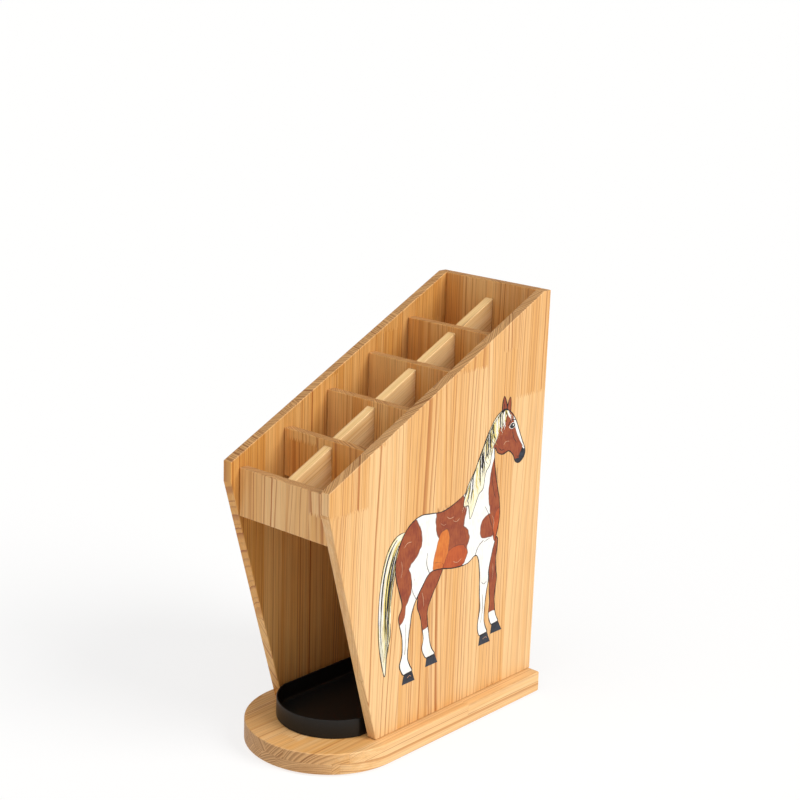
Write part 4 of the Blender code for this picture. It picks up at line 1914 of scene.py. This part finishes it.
@dataclass
class HorsePainting:
    """A pinto horse in acrylic paint on the right side panel."""

    panel: str = "side_panel_right"
    outline_width: float = 1.45
    outline_steps: int = 5
    stroke_spacing: float = 1.2 * MM
    unevenness: float = 0.8
    taper: float = 0.03
    stroke_thickness: float = 0.16
    lock_spread: float = 0.10 * MM
    lock_thickness: float = 0.10
    lock_seed: int = 7

    def build(self, looks: SharedLooks, nodes: PaintNodes) -> None:
        """Paints the horse, from its far side to its near side.

        Args:
            looks: The shared node groups.
            nodes: The trees for strokes and locks.
        """
        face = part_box(self.panel)[1][0]
        patches = ((BROWN, COAT_BROWN), (RUST, COAT_RUST), (ORANGE, COAT_ORANGE), (WHITE, COAT_WHITE),
                   (SLATE, COAT_SLATE))
        locks = ((0.4, YELLOW), (0.6, WHITE), (0.76, INK))
        far_coat = BrushedPaint("paint_far_coat", BROWN, patches=((WHITE, FAR_COAT_WHITE),)).dress(looks)
        coat = BrushedPaint("paint_coat", WHITE, patches=patches).dress(looks)
        hair = BrushedPaint("paint_hair", CREAM, locks=locks).dress(looks)
        cream, brown, slate, white, ink, sheen = (
            BrushedPaint(f"paint_{name}", pigment).dress(looks)
            for name, pigment in (("cream", CREAM), ("brown", BROWN), ("slate", SLATE), ("white", WHITE),
                                  ("ink", INK), ("sheen", SHEEN))
        )
        self._films("horse_far_side", face, (FAR_HIND_LEG, FAR_FORELEG, FAR_EAR), Layer.FAR, far_coat)
        self._films("horse_tail", face, (TAIL_OUTLINE,), Layer.FAR, cream)
        self._films("horse_coat", face, (BODY_OUTLINE,), Layer.NEAR, coat)
        self._films("horse_mane", face, (MANE_OUTLINE,), Layer.DETAIL, cream)
        self._films("horse_ear", face, (NEAR_EAR,), Layer.DETAIL, brown)
        self._films("horse_far_hooves", face, FAR_HOOF_OUTLINES, Layer.FAR_LINE, slate, rounded=False)
        self._films("horse_hooves", face, HOOF_OUTLINES, Layer.DETAIL, slate, rounded=False)
        self._films("horse_eye_rim", face, (EYE_WHITE_OUTLINE,), Layer.DETAIL, white)
        self._films("horse_eye", face, (EYE_OUTLINE, NOSTRIL_OUTLINE), Layer.LINE, ink)
        self._films("horse_eye_light", face, (EYE_LIGHT,), Layer.HAIR, white)
        self._draw("horse_ink_lines", self._ink_lines(), face, nodes, ink)
        self._draw("horse_light_lines", LIGHT_LINES, face, nodes, sheen)
        for run in HAIR:
            self._hair(run, face, nodes, ink if run.inked else hair)

    def _films(self, name: str, face: float, outlines: Sequence[Sequence[Point]], layer: Layer,
               paint: Material, rounded: bool = True) -> Object:
        """Paints filled shapes as one piece.

        Args:
            name: The piece's name.
            face: The panel's face.
            outlines: The shapes.
            layer: How high the paint stands.
            paint: The paint.
            rounded: Whether the outlines are smooth curves.

        Returns:
            The piece.
        """
        shape = bmesh.new()
        for outline in outlines:
            path = smooth_path(outline, True, self.outline_steps) if rounded else in_metres(outline)
            paint_film(shape, path, face, layer.height)
        return finish_piece(new_object(name, mesh_from(name, shape), paint), Body.STAND)

    def _ink_lines(self) -> list[Line]:
        """The outlines and the inner lines.

        Returns:
            The lines.
        """
        width = self.outline_width
        lines = [Line(outline, Layer.FAR_LINE, width, closed=True)
                 for outline in (FAR_HIND_LEG, FAR_FORELEG, FAR_EAR, TAIL_OUTLINE)]
        lines += [Line(outline, Layer.LINE, width, closed=True) for outline in (BODY_OUTLINE, NEAR_EAR)]
        lines.append(Line(MANE_OUTLINE, Layer.LINE, 0.8 * width, closed=True))
        return lines + list(INNER_LINES)

    def _draw(self, name: str, lines: Sequence[Line], face: float, nodes: PaintNodes, paint: Material
              ) -> Object:
        """Draws lines as brush strokes in one paint.

        Args:
            name: The piece's name.
            lines: The lines.
            face: The panel's face.
            nodes: The trees for strokes and locks.
            paint: The paint.

        Returns:
            The piece.
        """
        chains = []
        for line in lines:
            path = smooth_path(line.points, line.closed, self.outline_steps)
            if line.closed:
                path.append(path[0])
            chains.append((path, line.layer.height, line.width * MM))
        item = new_object(name, chain_mesh(name, chains, face), paint)
        nodes.strokes.apply(item, Spacing=self.stroke_spacing, Unevenness=self.unevenness, Taper=self.taper,
                            Thickness=self.stroke_thickness, Material=paint)
        return finish_piece(item, Body.STAND)

    def _hair(self, run: Hair, face: float, nodes: PaintNodes, paint: Material) -> Object:
        """Paints one run of locks.

        Args:
            run: The locks.
            face: The panel's face.
            nodes: The trees for strokes and locks.
            paint: The paint.

        Returns:
            The piece.
        """
        chains = [
            (smooth_path(guide, False), run.layer.height, run.width * MM)
            for guide in (run.roots, run.tips)
        ]
        item = new_object(run.name, chain_mesh(run.name, chains, face), paint)
        nodes.locks.apply(item, Count=run.count, Along=run.along, Width=run.width * MM, Wave=run.wave * MM,
                          Sag=run.sag * MM, Spread=self.lock_spread, Seed=self.lock_seed,
                          Thickness=self.lock_thickness, Material=paint)
        return finish_piece(item, Body.STAND)


# --------------------------------------------------------------------------------------------------
# Studio


@dataclass(frozen=True)
class Lamp:
    """A soft light: where it stands, how strong and how broad it is."""

    name: str
    azimuth: float
    elevation: float
    strength: float
    spread: float
    colour: Triple = (1.0, 0.985, 0.955)


KEY = Lamp("key", azimuth=106.0, elevation=38.0, strength=2.62, spread=34.0)
FILL = Lamp("fill", azimuth=10.0, elevation=62.0, strength=1.35, spread=60.0, colour=(1.0, 0.99, 0.97))


@dataclass
class Studio:
    """A pale floor lit from beneath, a soft light from the right, a softer one from above, and the camera."""

    azimuth: float = 41.34
    elevation: float = 15.13
    roll: float = 1.95
    distance: float = 2.160
    aim: Triple = (-0.0154, 0.0370, 0.4221)
    lens: float = 75.6
    sensor: float = 36.0
    view_depth: float = 1000.0
    floor_size: float = 400.0
    floor_colour: Triple = (0.24, 0.24, 0.24)
    floor_glow: float = 0.745
    sky: float = 0.16
    horizon: float = 0.93
    horizon_band: Point = (0.07, 0.20)
    white: Triple = (1.0, 1.0, 1.0)

    def direction(self, azimuth: float, elevation: float) -> Vector:
        """The direction from the stand towards a place round it.

        Args:
            azimuth: How far round it lies from the front towards the right, in degrees.
            elevation: How far up it lies, in degrees.

        Returns:
            The direction.
        """
        turn, rise = math.radians(azimuth), math.radians(elevation)
        return Vector((math.sin(turn) * math.cos(rise), -math.cos(turn) * math.cos(rise), math.sin(rise)))

    def build(self) -> None:
        """Builds the floor, the lights and the camera."""
        self._floor()
        self._sky()
        for lamp in (KEY, FILL):
            self._lamp(lamp)
        self._camera()
        bpy.context.scene.view_settings.view_transform = "Standard"

    def _floor(self) -> None:
        """A large plain floor of pale paper with a little light coming through it."""
        shape = bmesh.new()
        bmesh.ops.create_grid(shape, x_segments=1, y_segments=1, size=self.floor_size / 2)
        finish = Finish("floor_paper")
        finish.set(Base_Color=self.floor_colour, Roughness=0.9, Specular_IOR_Level=0.0,
                   Emission_Color=self.white, Emission_Strength=self.floor_glow)
        new_object("floor", mesh_from("floor", shape), finish.material)

    def _sky(self) -> None:
        """A dim even sky above a bright band at the horizon."""
        world = bpy.data.worlds.new("studio")
        world.use_nodes = True
        tree = Tree(world.node_tree)
        height = tree.split(tree.node("ShaderNodeTexCoord").outputs["Generated"])[2]
        background = world.node_tree.nodes["Background"].inputs
        tree.feed(background["Color"], self.white)
        tree.feed(background["Strength"], tree.remap(height, *self.horizon_band, self.horizon, self.sky))
        bpy.context.scene.world = world

    def _lamp(self, lamp: Lamp) -> None:
        """Sets up one broad soft light from far away.

        Args:
            lamp: The light.
        """
        sun = bpy.data.lights.new(lamp.name, "SUN")
        sun.energy = lamp.strength
        sun.angle = math.radians(lamp.spread)
        sun.color = lamp.colour
        item = linked(bpy.data.objects.new(lamp.name, sun))
        towards = self.direction(lamp.azimuth, lamp.elevation)
        item.rotation_euler = towards.to_track_quat("Z", "Y").to_euler()

    def _camera(self) -> None:
        """The camera, turned a little about its own axis."""
        data = bpy.data.cameras.new("camera")
        data.lens = self.lens
        data.sensor_width = self.sensor
        data.clip_end = self.view_depth
        item = linked(bpy.data.objects.new("camera", data))
        back = self.direction(self.azimuth, self.elevation)
        look = back.to_track_quat("Z", "Y").to_matrix() @ Matrix.Rotation(math.radians(self.roll), 3, "Z")
        item.matrix_world = Matrix.Translation(Vector(self.aim) + back * self.distance) @ look.to_4x4()
        bpy.context.scene.camera = item


def main() -> None:
    """Builds every piece and the studio."""
    logging.basicConfig(level=logging.INFO, format="%(name)s: %(message)s")
    looks = SharedLooks()
    fixings = FixingNodes()
    Housing().build(looks)
    DripTray().build(looks)
    Dowels().build(looks, fixings)
    BaseScrews().build(looks, fixings)
    Feet().build(looks, fixings)
    HorsePainting().build(looks, PaintNodes())
    Studio().build()


if __name__ == "__main__":
    main()
